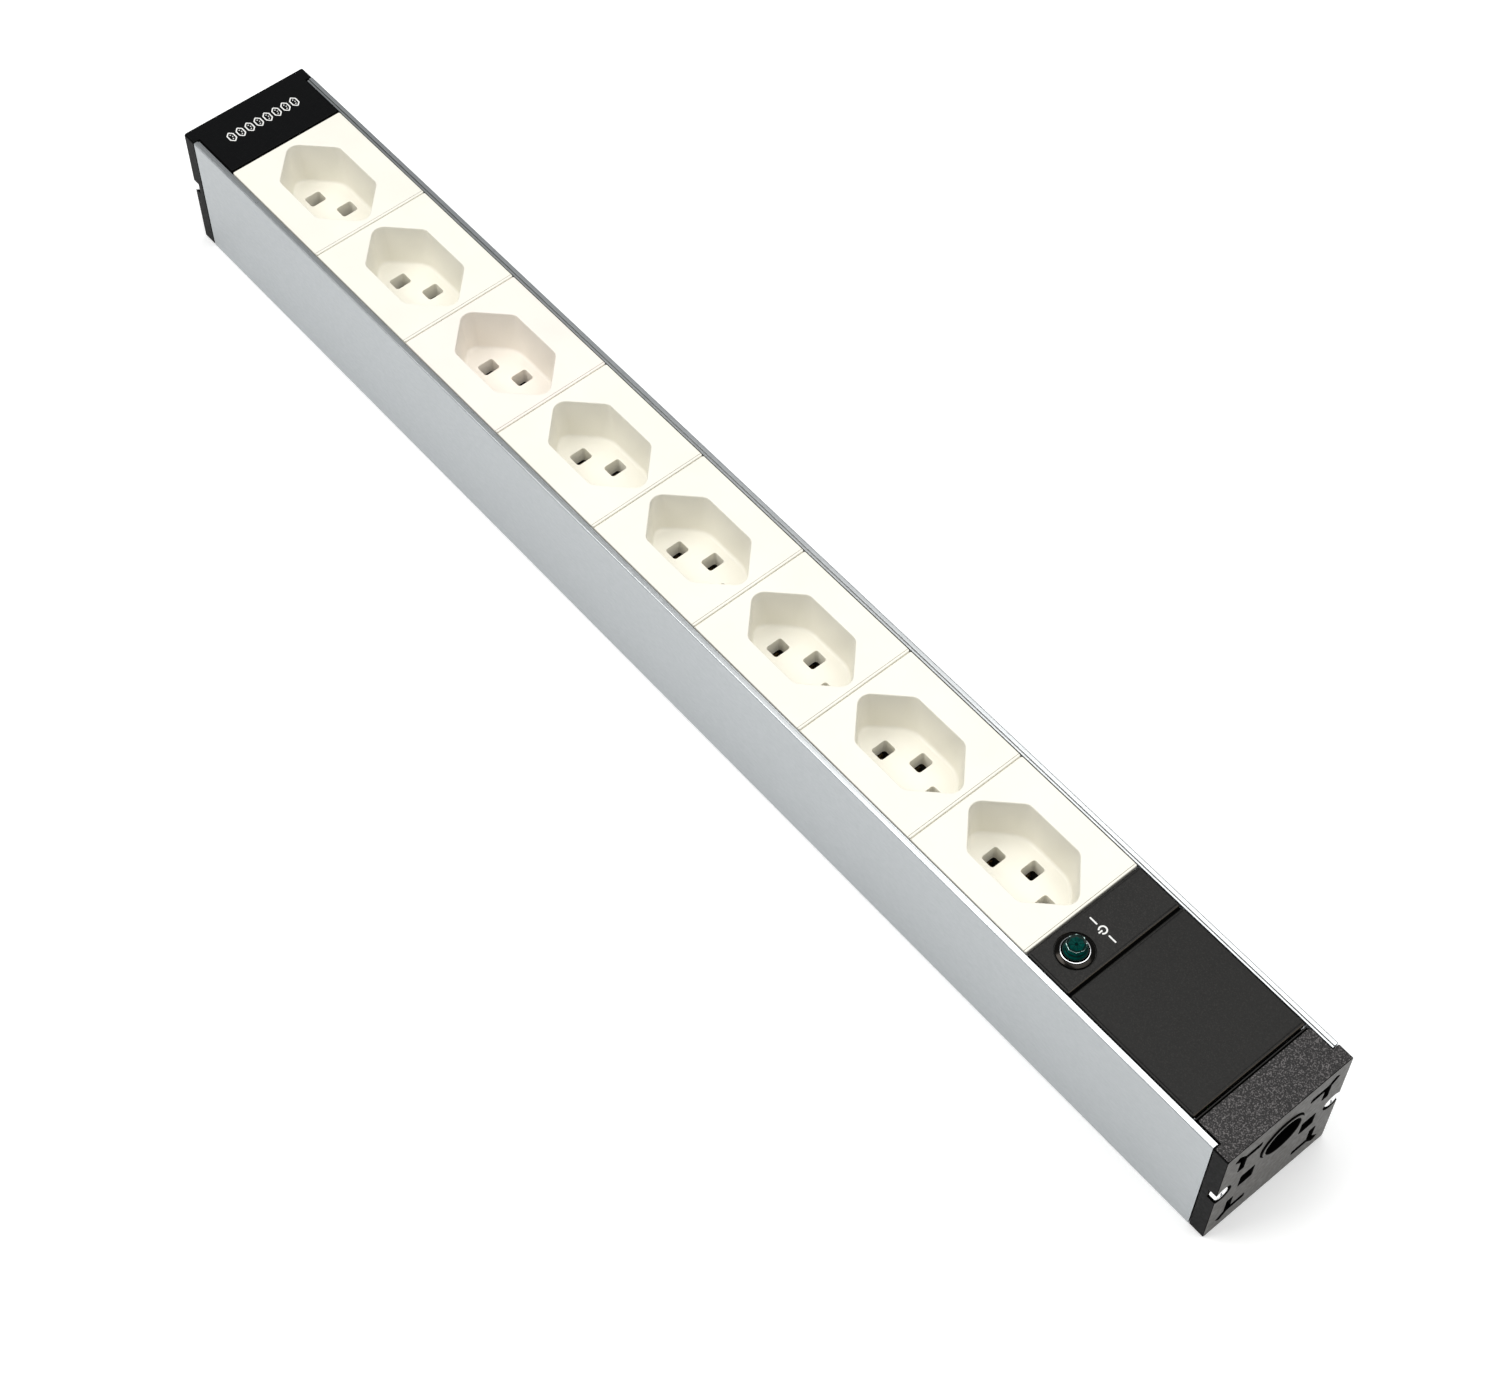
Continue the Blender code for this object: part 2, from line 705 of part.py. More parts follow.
def contact_rail(name, pin, strip, z):
    """A stamped strip with a tab and a pair of upright spring leaves under each socket's pin hole."""
    pin_x, pin_y = pin
    centres = [X_SOCKETS + (number + 0.5) * PITCH + pin_x for number in range(SOCKETS)]
    half = LEAF_GAP / 2 + LEAF_THICK
    half_leaf = LEAF_WIDTH / 2
    half_thick, half_tab = RAIL_THICK / 2, RAIL_THICK / 2 - 0.1 * MM
    past = 1.0 * MM
    low = (centres[0] - half - past, strip[0], z - half_thick)
    rail = box(name, low, (RAIL_END, strip[1], z + half_thick), BRASS)
    tab_low = min(pin_y - half_leaf, strip[0] + past)
    tab_high = max(pin_y + half_leaf, strip[1] - past)
    if tab_low < strip[0] or tab_high > strip[1]:
        tabs = [
            ((x - half, tab_low, z - half_tab), (x + half, tab_high, z + half_tab)) for x in centres
        ]
        join(rail, boxes(name + "_tabs", tabs, None))
    inset = 0.1 * MM
    leaves = []
    for x in centres:
        for side in (1, -1):
            edges = sorted((x + side * LEAF_GAP / 2, x + side * (half - inset)))
            low = (edges[0], pin_y - half_leaf + inset, z - inset)
            high = (edges[1], pin_y + half_leaf - inset, LEAF_TOP)
            leaves.append((low, high))
    join(rail, boxes(name + "_leaves", leaves, None))


def build_rails():
    pins = pin_places()
    contact_rail("line_contact_rail", pins["line"], LINE_STRIP, LIVE_RAIL_Z)
    contact_rail("neutral_contact_rail", pins["neutral"], NEUTRAL_STRIP, LIVE_RAIL_Z)
    contact_rail("earth_contact_rail", pins["earth"], EARTH_STRIP, EARTH_RAIL_Z)
    liner_low = (X_CLOSED + FLANGE + 3.0 * MM, -17.0 * MM, FLOOR + GAP)
    liner_high = (BLOCK_X + BLOCK_HALF_X + 2.0 * MM, 17.0 * MM, 4.3 * MM)
    box("insulating_liner", liner_low, liner_high, FIBRE)


# ------------------------------------------------------------ cover plates


def cover_plate(name, low_x, high_x):
    outline = rectangle((low_x, -PLATE_HALF_Y), (high_x, PLATE_HALF_Y), 0.6 * MM, 2)
    plate = extruded(name, [outline], PLATE_THICK, BLACK, (0, 0, PLATE_TOP - PLATE_THICK / 2))
    short = 5.0 * MM
    join(plate, clip_skirts(name + "_skirts", high_x - low_x - short, (low_x + high_x) / 2))
    return plate


def build_covers():
    high_x = X_LAMP + 15.1 * MM
    lamp_plate = cover_plate("lamp_plate", X_LAMP + GAP, high_x)
    join(lamp_plate, groove_tongue("lamp_plate_tongue", high_x - 1.0 * MM, high_x + 0.6 * MM))
    cover_plate("blank_plate", X_BLANK + 0.4 * MM, X_BLANK + 43.2 * MM)
    lamp_place = (LAMP_X, LAMP_Y)
    past = 1.0 * MM
    seat = extruded(
        "lamp_seat",
        [circle(lamp_place, LAMP_SEAT_RADIUS)],
        2 * past,
        None,
        (0, 0, PLATE_TOP - LAMP_SEAT_DEPTH + past),
        collection=CUTTERS,
    )
    hole = extruded(
        "lamp_hole",
        [circle(lamp_place, LAMP_HOLE_RADIUS)],
        PLATE_THICK + 2 * past,
        None,
        (0, 0, PLATE_TOP - PLATE_THICK / 2),
        collection=CUTTERS,
    )
    cut(lamp_plate, seat)
    cut(lamp_plate, hole)


# -------------------------------------------------------------- pilot lamp


def build_lamp():
    """Heights are measured from the cover plates' top."""
    place = (LAMP_X, LAMP_Y, PLATE_TOP)
    collar = turned(
        "lamp_collar",
        [
            (4.15 * MM, 0.8 * MM),
            (5.15 * MM, 0.05 * MM),
            (5.15 * MM, -0.2 * MM),
            (3.6 * MM, -0.2 * MM),
            (3.6 * MM, -10.0 * MM),
            (2.9 * MM, -10.0 * MM),
            (2.9 * MM, 0.8 * MM),
        ],
        CHROME,
        place,
    )
    lens = turned(
        "lamp_lens",
        [
            (0, 4.0 * MM),
            (2.5 * MM, 4.0 * MM),
            (2.8 * MM, 3.7 * MM),
            (2.8 * MM, 2.5 * MM),
            (3.5 * MM, 2.0 * MM),
            (3.5 * MM, 1.1 * MM),
            (2.6 * MM, 1.1 * MM),
            (2.6 * MM, -6.5 * MM),
            (0, -6.5 * MM),
        ],
        GREEN,
        place,
    )
    body = turned(
        "lamp_body",
        [
            (0, -6.8 * MM),
            (2.5 * MM, -6.8 * MM),
            (2.5 * MM, -10.4 * MM),
            (3.3 * MM, -10.4 * MM),
            (3.3 * MM, -LAMP_LENGTH),
            (0, -LAMP_LENGTH),
        ],
        IVORY,
        place,
    )
    for piece in (collar, lens, body):
        smooth(piece)
    nut_height = 2.6 * MM
    nut_z = PLATE_BOTTOM - GAP - nut_height / 2
    nut = extruded(
        "lamp_nut",
        [circle((0, 0), 5.6 * MM, 6), circle((0, 0), LAMP_HOLE_RADIUS)],
        nut_height,
        STEEL,
        (LAMP_X, LAMP_Y, nut_z),
    )
    smooth(nut)


# ------------------------------------------------------ supply connections


def build_terminal_block():
    half_y, bottom, top = 13.0 * MM, 4.6 * MM, 18.6 * MM
    low = (BLOCK_X - BLOCK_HALF_X, -half_y, bottom)
    high = (BLOCK_X + BLOCK_HALF_X, half_y, top)
    block = box("terminal_block", low, high, IVORY)
    ways = extruded(
        "pole_ways",
        [circle((y, POLE_Z), 2.0 * MM, 12) for y in POLES_Y],
        BLOCK_HALF_X * 3,
        None,
        (BLOCK_X, 0, 0),
        ACROSS,
        CUTTERS,
    )
    well_depth = 9.0 * MM
    wells = extruded(
        "screw_wells",
        [circle((BLOCK_X, y), 2.3 * MM, 12) for y in POLES_Y],
        well_depth,
        None,
        (0, 0, top + 1 * MM - well_depth / 2),
        collection=CUTTERS,
    )
    cut(block, ways)
    cut(block, wells)
    head = [
        (0, 0),
        (1.7 * MM, 0),
        (2.0 * MM, -0.3 * MM),
        (2.0 * MM, -5.0 * MM),
        (0, -5.0 * MM),
    ]
    for pole, y in zip(("line", "earth", "neutral"), POLES_Y):
        name = f"terminal_screw_{pole}"
        place = (BLOCK_X, y, 17.5 * MM)
        screw = turned(name, head, STEEL, place, steps=16)
        slot_low = (BLOCK_X - 2.5 * MM, y - 0.3 * MM, place[2] - 0.8 * MM)
        slot_high = (BLOCK_X + 2.5 * MM, y + 0.3 * MM, place[2] + 1.0 * MM)
        cut(screw, box(name + "_slot", slot_low, slot_high, None, CUTTERS))


def build_earth_bond():
    """A ring lug screwed to the channel's floor."""
    x, y = EARTH_SCREW_X, EARTH_SCREW_Y
    thick = 0.8 * MM
    tongue = 1.4 * MM
    tip_y = y - 8.0 * MM
    turn = math.degrees(math.acos(tongue / (3.8 * MM)))
    ring = arc((x, y), 3.8 * MM, -turn, 180 + turn, 20)
    outline = [*ring, (x - tongue, tip_y), (x + tongue, tip_y)]
    lug_z = FLOOR + GAP + thick / 2
    hole = circle((x, y), EARTH_SCREW_HOLE, 16)
    lug = extruded("earth_lug", [outline, hole], thick, STEEL, (0, 0, lug_z))
    smooth(lug)
    top = lug_z + thick / 2 + GAP
    screw = turned(
        "earth_screw",
        [
            (0, 2.2 * MM),
            (2.4 * MM, 2.0 * MM),
            (3.4 * MM, 1.2 * MM),
            (3.4 * MM, 0),
            (1.7 * MM, 0),
            (1.7 * MM, -2.9 * MM),
            (0, -2.9 * MM),
        ],
        STEEL,
        (x, y, top),
        steps=16,
    )
    smooth(screw)
    slot_low = (x - 4 * MM, y - 0.4 * MM, top + 1.3 * MM)
    slot_high = (x + 4 * MM, y + 0.4 * MM, top + 3.0 * MM)
    cut(screw, box("earth_screw_slot", slot_low, slot_high, None, CUTTERS))


def build_wires():
    radius, thin = 1.2 * MM, 0.6 * MM
    start = RAIL_END + GAP
    mouth = BLOCK_X - BLOCK_HALF_X
    inside = mouth + 6.0 * MM
    runs = (
        ("line_wire", -4.5 * MM, LIVE_RAIL_Z, POLES_Y[0], BROWN_WIRE),
        ("earth_wire", 5.0 * MM, EARTH_RAIL_Z + 0.5 * MM, POLES_Y[1], EARTH_WIRE),
        ("neutral_wire", 9.5 * MM, LIVE_RAIL_Z, POLES_Y[2], BLUE_WIRE),
    )
    for name, y, z, pole_y, colour in runs:
        route = [
            (start, y, z),
            (start + 4 * MM, y, z),
            (start + 9 * MM, y * 0.7 + pole_y * 0.3, z * 0.7 + POLE_Z * 0.3),
            (mouth - 6 * MM, pole_y, POLE_Z),
            (inside, pole_y, POLE_Z),
        ]
        wire(name, route, radius, colour)
    lamp_bottom = PLATE_TOP - LAMP_LENGTH - GAP
    tail_top = LIVE_RAIL_Z + RAIL_THICK / 2 + GAP
    tail_x = RAIL_END - 1.2 * MM
    leads = (("line", -4.5 * MM, -1.6 * MM, BROWN_WIRE), ("neutral", 9.5 * MM, 1.6 * MM, BLUE_WIRE))
    for pole, y, shift, colour in leads:
        from_y = LAMP_Y + shift
        route = [
            (LAMP_X, from_y, lamp_bottom),
            (LAMP_X, from_y, lamp_bottom - 3 * MM),
            ((LAMP_X + tail_x) / 2, (from_y + y) / 2, 15.5 * MM),
            (tail_x, y, tail_top + 4 * MM),
            (tail_x, y, tail_top),
        ]
        wire(f"lamp_lead_{pole}", route, thin, colour)
    lug_tip = EARTH_SCREW_Y - 8.0 * MM - GAP
    bond = [
        (EARTH_SCREW_X, lug_tip, 5.0 * MM),
        (EARTH_SCREW_X, lug_tip - 2.5 * MM, 5.4 * MM),
        (EARTH_SCREW_X - 2.5 * MM, 0.2 * MM, 8.6 * MM),
        (BLOCK_X + BLOCK_HALF_X, 0, POLE_Z),
        (BLOCK_X + BLOCK_HALF_X - 4 * MM, 0, POLE_Z),
    ]
    wire("earth_bond_wire", bond, radius, EARTH_WIRE)


build_channel()
build_end_caps()
build_end_cap_screws()
build_sockets()
build_rails()
build_covers()
build_lamp()
build_terminal_block()
build_earth_bond()
build_wires()
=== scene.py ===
import math

import bmesh
import bpy
from mathutils import Matrix, Vector


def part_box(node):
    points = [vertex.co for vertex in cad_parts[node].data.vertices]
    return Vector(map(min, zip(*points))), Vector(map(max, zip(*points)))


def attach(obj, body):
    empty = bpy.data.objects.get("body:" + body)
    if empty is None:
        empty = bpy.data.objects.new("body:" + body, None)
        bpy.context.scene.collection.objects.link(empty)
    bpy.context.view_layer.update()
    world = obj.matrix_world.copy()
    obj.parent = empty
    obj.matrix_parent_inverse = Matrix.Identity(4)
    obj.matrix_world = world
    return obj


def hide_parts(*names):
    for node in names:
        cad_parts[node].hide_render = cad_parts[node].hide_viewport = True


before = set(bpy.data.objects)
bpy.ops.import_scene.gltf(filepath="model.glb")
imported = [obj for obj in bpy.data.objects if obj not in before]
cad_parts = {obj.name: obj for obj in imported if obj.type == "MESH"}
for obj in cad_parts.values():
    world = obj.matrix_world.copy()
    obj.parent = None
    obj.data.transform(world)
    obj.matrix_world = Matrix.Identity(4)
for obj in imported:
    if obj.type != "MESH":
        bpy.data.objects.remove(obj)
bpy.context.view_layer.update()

MM = 0.001
STRIP = "strip"

# Levels and outlines that the CAD boxes do not give
PLATE_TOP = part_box("blank_plate")[1].z
PLATE_BOTTOM = PLATE_TOP - 1.8 * MM
PLATE_HALF_Y = 19.7 * MM
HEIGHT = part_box("end_cap_cable")[1].z
HALF_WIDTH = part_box("end_cap_cable")[1].y
LEDGE_TOP, LEDGE_BOTTOM, LEDGE_INNER = 42.7 * MM, 41.5 * MM, 18.6 * MM
WALL_INNER = 20.0 * MM
STEP_DEPTH = 0.4 * MM
CHANNEL_FLOOR = 3.0 * MM
PORT_Y, PORT_Z = 19.6 * MM, 23.2 * MM
PORT_RADIUS, PORT_OUTER = 1.25 * MM, 2.1 * MM
FLANGE = 4.9 * MM
TONGUE = {"lamp": 0.6 * MM, "cable": 1.1 * MM}
RECESS_DEPTH = 15.0 * MM
RECESS_FLOOR = PLATE_TOP - RECESS_DEPTH
PIN_X, EARTH_PIN_Y = 9.5 * MM, 5.0 * MM
CUP_BOTTOM = 24.3 * MM
CUP_WALL = 1.5 * MM
NOTCH_DEPTH = 2.6 * MM
SOCKETS = 8
WELD = 1e-6


# ---------------------------------------------------------------- outlines


def rounded(corners, radii, steps=8):
    """A closed outline with each corner turned into an arc; a radius of 0 keeps the corner."""
    points = []
    count = len(corners)
    for i, (corner, radius) in enumerate(zip(corners, radii)):
        here = Vector(corner)
        if radius == 0:
            points.append(here)
            continue
        back = (Vector(corners[i - 1]) - here).normalized()
        ahead = (Vector(corners[(i + 1) % count]) - here).normalized()
        half = back.angle(ahead) / 2
        centre = here + (back + ahead).normalized() * radius / math.sin(half)
        start = here + back * radius / math.tan(half) - centre
        turn = start.angle_signed(here + ahead * radius / math.tan(half) - centre)
        for step in range(steps + 1):
            points.append(centre + Matrix.Rotation(-turn * step / steps, 2) @ start)
    return points


def rectangle(low, high, radius, steps=8):
    corners = [(low[0], low[1]), (high[0], low[1]), (high[0], high[1]), (low[0], high[1])]
    return rounded(corners, [radius] * 4, steps)


def hexagon(tip, flat, tip_radius, flat_radius, steps=8):
    shoulder = tip - flat
    corners = [
        (tip, 0),
        (shoulder, flat),
        (-shoulder, flat),
        (-tip, 0),
        (-shoulder, -flat),
        (shoulder, -flat),
    ]
    return rounded(corners, [tip_radius, flat_radius, flat_radius] * 2, steps)


def circle(centre, radius, steps=64):
    turns = [2 * math.pi * step / steps for step in range(steps)]
    return [Vector((centre[0] + radius * math.cos(t), centre[1] + radius * math.sin(t))) for t in turns]


def arc(centre, radius, start, end, steps):
    """Points of an arc between two angles in degrees."""
    turns = [math.radians(start + (end - start) * step / steps) for step in range(steps + 1)]
    return [Vector((centre[0] + radius * math.cos(t), centre[1] + radius * math.sin(t))) for t in turns]


def moved(outline, x, y):
    return [point + Vector((x, y)) for point in outline]


def blended(first, second, share):
    return [a.lerp(b, share) for a, b in zip(first, second)]


def offset(outline, distance):
    """The outline grown by distance, or shrunk when it is negative."""
    count = len(outline)
    area = sum(outline[i - 1].cross(outline[i]) for i in range(count))
    turn = math.copysign(1, area)
    grown = []
    for i, here in enumerate(outline):
        before = here - outline[i - 1]
        after = outline[(i + 1) % count] - here
        first = Vector((before.y, -before.x)).normalized() * turn
        second = Vector((after.y, -after.x)).normalized() * turn
        grown.append(here + (first + second) * distance / (1 + first.dot(second)))
    return grown


def eased(low, high, low_edge=0.0, high_edge=0.0, steps=4):
    """(inset, level) pairs up the side of a plate whose edges are rounded."""
    quarter = [math.pi / 2 * step / steps for step in range(steps + 1)]
    start = [(0.0, low)]
    end = [(0.0, high)]
    if low_edge:
        start = [(low_edge * (1 - math.sin(t)), low + low_edge * (1 - math.cos(t))) for t in quarter]
    if high_edge:
        end = [(high_edge * (1 - math.cos(t)), high - high_edge * (1 - math.sin(t))) for t in quarter]
    return start + end


# ------------------------------------------------------------------ shells


class Shell:
    """A mesh skinned from rings of points; across turns outlines drawn as (Y, Z)."""

    def __init__(self, across=False):
        self.mesh = bmesh.new()
        self.across = across

    def ring(self, outline, level):
        if self.across:
            return [self.mesh.verts.new((level, p[0], p[1])) for p in outline]
        return [self.mesh.verts.new((p[0], p[1], level)) for p in outline]

    def band(self, first, second):
        count = len(first)
        for i in range(count):
            j = (i + 1) % count
            self.mesh.faces.new((first[i], first[j], second[j], second[i]))

    def skin(self, rings):
        for first, second in zip(rings, rings[1:]):
            self.band(first, second)

    def fill(self, rings):
        """A flat face inside the first ring, with the other rings as its holes."""
        edges = []
        for ring in rings:
            for i, vert in enumerate(ring):
                pair = (ring[i - 1], vert)
                edges.append(self.mesh.edges.get(pair) or self.mesh.edges.new(pair))
        bmesh.ops.triangle_fill(self.mesh, use_beauty=True, edges=edges)

    def slab(self, outer, holes, profile):
        """A plate with rounded edges: profile lists (inset, level) from one face to the other."""
        stacks = []
        for outline, way in [(outer, -1), *[(hole, 1) for hole in holes]]:
            rings = [self.ring(offset(outline, way * inset), level) for inset, level in profile]
            self.skin(rings)
            stacks.append(rings)
        self.fill([rings[0] for rings in stacks])
        self.fill([rings[-1] for rings in stacks])

    def done(self, name):
        bmesh.ops.recalc_face_normals(self.mesh, faces=self.mesh.faces)
        made = bpy.data.meshes.new(name)
        self.mesh.to_mesh(made)
        self.mesh.free()
        return made


def lathe(name, profile, steps=96, hollow=False):
    """A profile of (radius, height) points spun about Z; a third value gives a ring's facet count.

    A hollow profile is closed on itself; the others end in a flat face at both ends.
    """
    facet_swell = 1.035
    shell = Shell()
    rings = []
    for radius, height, *facets in profile:
        ring = circle((0, 0), radius, steps)
        if facets:
            half = math.pi / facets[0]
            for i, point in enumerate(ring):
                turn = (2 * math.pi * i / steps) % (2 * half) - half
                point *= math.cos(half) / math.cos(turn) * facet_swell
        rings.append(shell.ring(ring, height))
    shell.skin(rings)
    if hollow:
        shell.band(rings[-1], rings[0])
    else:
        shell.mesh.faces.new(rings[0])
        shell.mesh.faces.new(rings[-1])
    return shell.done(name)


def placed(mesh, matrix):
    mesh.transform(matrix)
    return mesh


def temporary(mesh):
    tool = bpy.data.objects.new(mesh.name + "_tool", mesh)
    bpy.context.scene.collection.objects.link(tool)
    return tool


def combined(mesh, steps):
    """The mesh after Booleans, given as (operation, mesh) pairs."""
    base = temporary(mesh)
    tools = [base]
    for operation, other in steps:
        tool = temporary(other)
        tools.append(tool)
        step = base.modifiers.new(operation, "BOOLEAN")
        step.operation = operation
        step.object = tool
        step.solver = "EXACT"
    bpy.context.view_layer.update()
    graph = bpy.context.evaluated_depsgraph_get()
    result = bpy.data.meshes.new_from_object(base.evaluated_get(graph))
    for tool in tools:
        bpy.data.objects.remove(tool)
    shell = bmesh.new()
    shell.from_mesh(result)
    bmesh.ops.remove_doubles(shell, verts=shell.verts, dist=WELD)
    bmesh.ops.recalc_face_normals(shell, faces=shell.faces)
    shell.to_mesh(result)
    shell.free()
    return result


def block(low, high):
    shell = Shell()
    shell.slab(rectangle(low, high, 0), [], [(0.0, low[2]), (0.0, high[2])])
    return shell.done("block")


def zone(obj, surface, facing, closeness=0.8):
    """Gives the faces that look along a direction another material: a finish of their own, or a lighter
    or darker copy that paints light or shade.
    """
    mesh = obj.data
    mesh.materials.append(surface)
    index = len(mesh.materials) - 1
    for face in mesh.polygons:
        if face.normal.dot(Vector(facing)) > closeness:
            face.material_index = index


def piece(name, mesh, surface, nodes=(), body=STRIP, sharp=50):
    """Adds a finished piece that rides a body and stands for CAD nodes."""
    mesh.materials.clear()
    mesh.materials.append(surface)
    obj = bpy.data.objects.new(name, mesh)
    bpy.context.scene.collection.objects.link(obj)
    mesh.shade_smooth()
    mesh.set_sharp_from_angle(angle=math.radians(sharp))
    normals = obj.modifiers.new("normals", "WEIGHTED_NORMAL")
    normals.keep_sharp = True
    normals.weight = 100
    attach(obj, body)
    if nodes:
        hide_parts(*nodes)
    return obj


# --------------------------------------------------------------- materials


class Graph:
    """Small helper that adds and links shader nodes."""

    def __init__(self, name):
        self.material = bpy.data.materials.new(name)
        self.material.use_nodes = True
        self.tree = self.material.node_tree
        self.shader = self.tree.nodes["Principled BSDF"]
        self.coordinates = self.add("ShaderNodeTexCoord").outputs["Object"]

    def add(self, kind, inputs=(), **settings):
        node = self.tree.nodes.new(kind)
        for key, value in settings.items():
            setattr(node, key, value)
        for key, value in dict(inputs).items():
            if isinstance(value, bpy.types.NodeSocket):
                self.tree.links.new(value, node.inputs[key])
            else:
                node.inputs[key].default_value = value
        return node

    def noise(self, scale, detail=3.0, stretch=None):
        place = self.coordinates
        if stretch:
            place = self.add("ShaderNodeMapping", {"Vector": place, "Scale": stretch}).outputs[0]
        made = self.add("ShaderNodeTexNoise", {"Vector": place, "Scale": scale, "Detail": detail})
        return made.outputs["Fac"]

    def remap(self, value, low, high, to_low, to_high):
        inputs = {0: value, 1: low, 2: high, 3: to_low, 4: to_high}
        return self.add("ShaderNodeMapRange", inputs, clamp=True).outputs[0]

    def mix(self, share, first, second):
        node = self.add("ShaderNodeMix", data_type="RGBA")
        for key, value in ((0, share), (6, first), (7, second)):
            if isinstance(value, bpy.types.NodeSocket):
                self.tree.links.new(value, node.inputs[key])
            else:
                node.inputs[key].default_value = value
        return node.outputs[2]

    def math(self, operation, first, second):
        return self.add("ShaderNodeMath", {0: first, 1: second}, operation=operation).outputs[0]

    def worn_edges(self):
        """1 on the convex edges that hands polish, 0 on flat faces."""
        edge = self.add("ShaderNodeNewGeometry").outputs["Pointiness"]
        return self.remap(edge, 0.52, 0.62, 0.0, 1.0)

    def bump(self, height, distance):
        inputs = {"Height": height, "Distance": distance, "Strength": 1.0}
        return self.add("ShaderNodeBump", inputs).outputs[0]

    def finish(self, colour, roughness, normal, **constants):
        for key, value in (("Base Color", colour), ("Roughness", roughness), ("Normal", normal)):
            self.tree.links.new(value, self.shader.inputs[key])
        for key, value in constants.items():
            self.shader.inputs[key.replace("_", " ")].default_value = value
        return self.material


def shade(colour, factor):
    return (*[min(channel * factor, 1.0) for channel in colour], 1.0)


def plastic(name, colour, roughness, spread=0.05, grain=2600, depth=4e-6, speckle=0.0, shine=0.5):
    """Moulded plastic: soft clouding, spark-eroded grain and, if asked for, lighter speckles."""
    g = Graph(name)
    cloud = g.remap(g.noise(55, 4.0), 0.3, 0.7, 0.0, 1.0)
    base = g.mix(cloud, shade(colour, 1 - spread), shade(colour, 1 + spread))
    fine = g.noise(grain, 4.0)
    base = g.mix(g.remap(fine, 0.3, 0.7, 0.0, spread), base, shade(colour, 0.5))
    if speckle:
        dots = g.remap(g.noise(grain, 1.5), 0.5, 0.68, 0.0, 1.0)
        base = g.mix(dots, base, shade(colour, speckle))
    rough = g.remap(g.noise(grain * 0.5, 2.0), 0.3, 0.7, roughness - 0.05, roughness + 0.07)
    return g.finish(base, rough, g.bump(fine, depth), Specular_IOR_Level=shine)


def metal(name, colour, roughness, stretch=(1, 1, 1), grain=1500, depth=1e-6, spread=0.05):
    """Metal with fine streaks along the stretch axis and brighter edges."""
    g = Graph(name)
    streak = g.noise(grain, 5.0, stretch)
    cloud = g.noise(20, 3.0)
    clouded = g.remap(cloud, 0.3, 0.7, 0.0, 1.0)
    base = g.mix(clouded, shade(colour, 1 - spread), shade(colour, 1 + spread))
    base = g.mix(g.remap(streak, 0.35, 0.65, 0.0, 0.5), base, shade(colour, 1 - 2 * spread))
    base = g.mix(g.math("MULTIPLY", g.worn_edges(), 0.4), base, shade(colour, 1.2))
    rough = g.remap(streak, 0.3, 0.7, roughness * 0.85, roughness * 1.15)
    return g.finish(base, rough, g.bump(streak, depth), Metallic=1.0)


ALUMINIUM = metal("anodised_aluminium_fine", (0.405, 0.425, 0.437), 0.40, (0.3, 1, 1), 2200, 1e-6, 0.02)
# Painted light: a lighter copy of the aluminium for the faces that look up.
LIT_TOP_ALUMINIUM = metal(
    "anodised_aluminium_painted_lit_top", (0.60, 0.62, 0.63), 0.32, (0.3, 1, 1), 2200, 1e-6, 0.02
)
WHITE = plastic("white_plastic_fine", (0.855, 0.831, 0.746), 0.42, 0.025, 2400, 3e-6)
WARM_WHITE = plastic("warm_white_plastic_fine", (0.862, 0.815, 0.745), 0.42, 0.025, 2400, 3e-6)
SMOOTH_BLACK = plastic(
    "black_plastic_fine_grain", (0.0066, 0.0062, 0.0055), 0.45, 0.12, 3000, 6e-6, 2.2, 0.22
)
LAMP_PLATE_BLACK = plastic(
    "black_plastic_fine_grain_pale", (0.0085, 0.0080, 0.0073), 0.45, 0.12, 3000, 6e-6, 2.4, 0.22
)
# Painted highlight: a tan copy of the black for the plates' rounded edges that face +X.
EDGE_HIGHLIGHT_BLACK = plastic("black_plastic_painted_edge_highlight", (0.075, 0.062, 0.048), 0.5, 0.12, 3000, 6e-6, 0.5, 0.2)
LABEL_BLACK = plastic(
    "black_plastic_gloss", (0.0016, 0.0016, 0.0019), 0.25, 0.10, 2600, 2e-6, shine=0.2
)
# Painted shade: near-black for hole walls, rounded edges, groove shelves and the bushing's bore.
SHADE_BLACK = plastic(
    "painted_shade_black", (0.001, 0.001, 0.001), 0.7, 0.10, 2000, 6e-6, shine=0.03
)
COARSE_BLACK = plastic(
    "black_plastic_coarse_grain", (0.011, 0.0102, 0.0102), 0.5, 0.12, 2900, 2e-5, 12.0, 0.26
)
# Painted reflection: a lighter copy of the cap's black for the faces that look along X; its lower
# roughness is a smoother finish.
END_FACE_REFLECTION_BLACK = plastic(
    "black_plastic_end_face_painted_reflection", (0.0205, 0.0165, 0.0105), 0.42, 0.25, 1500, 1.2e-5, 1.6, 0.4
)
SIDE_BLACK = plastic("black_plastic_side", (0.004, 0.004, 0.0043), 0.50, 0.10, 2600, 1e-5, 1.3, 0.05)
ZINC = metal("bright_zinc_fine", (0.95, 0.95, 0.95), 0.14, (1, 1, 1), 3000, 2e-6, 0.03)
CARRIER = plastic("carrier_plastic_fine", (0.035, 0.035, 0.034), 0.6, 0.10, 1500, 1e-5, shine=0.2)
BRASS = metal("brass_fine", (0.72, 0.50, 0.22), 0.32, (0.05, 1, 1), 1800)
STEEL = metal("zinc_plated_steel_fine", (0.80, 0.80, 0.81), 0.22, (1, 1, 1), 3000)
CHROME = metal("chrome_fine", (0.72, 0.73, 0.74), 0.08, (1, 1, 1), 2500, 4e-7)
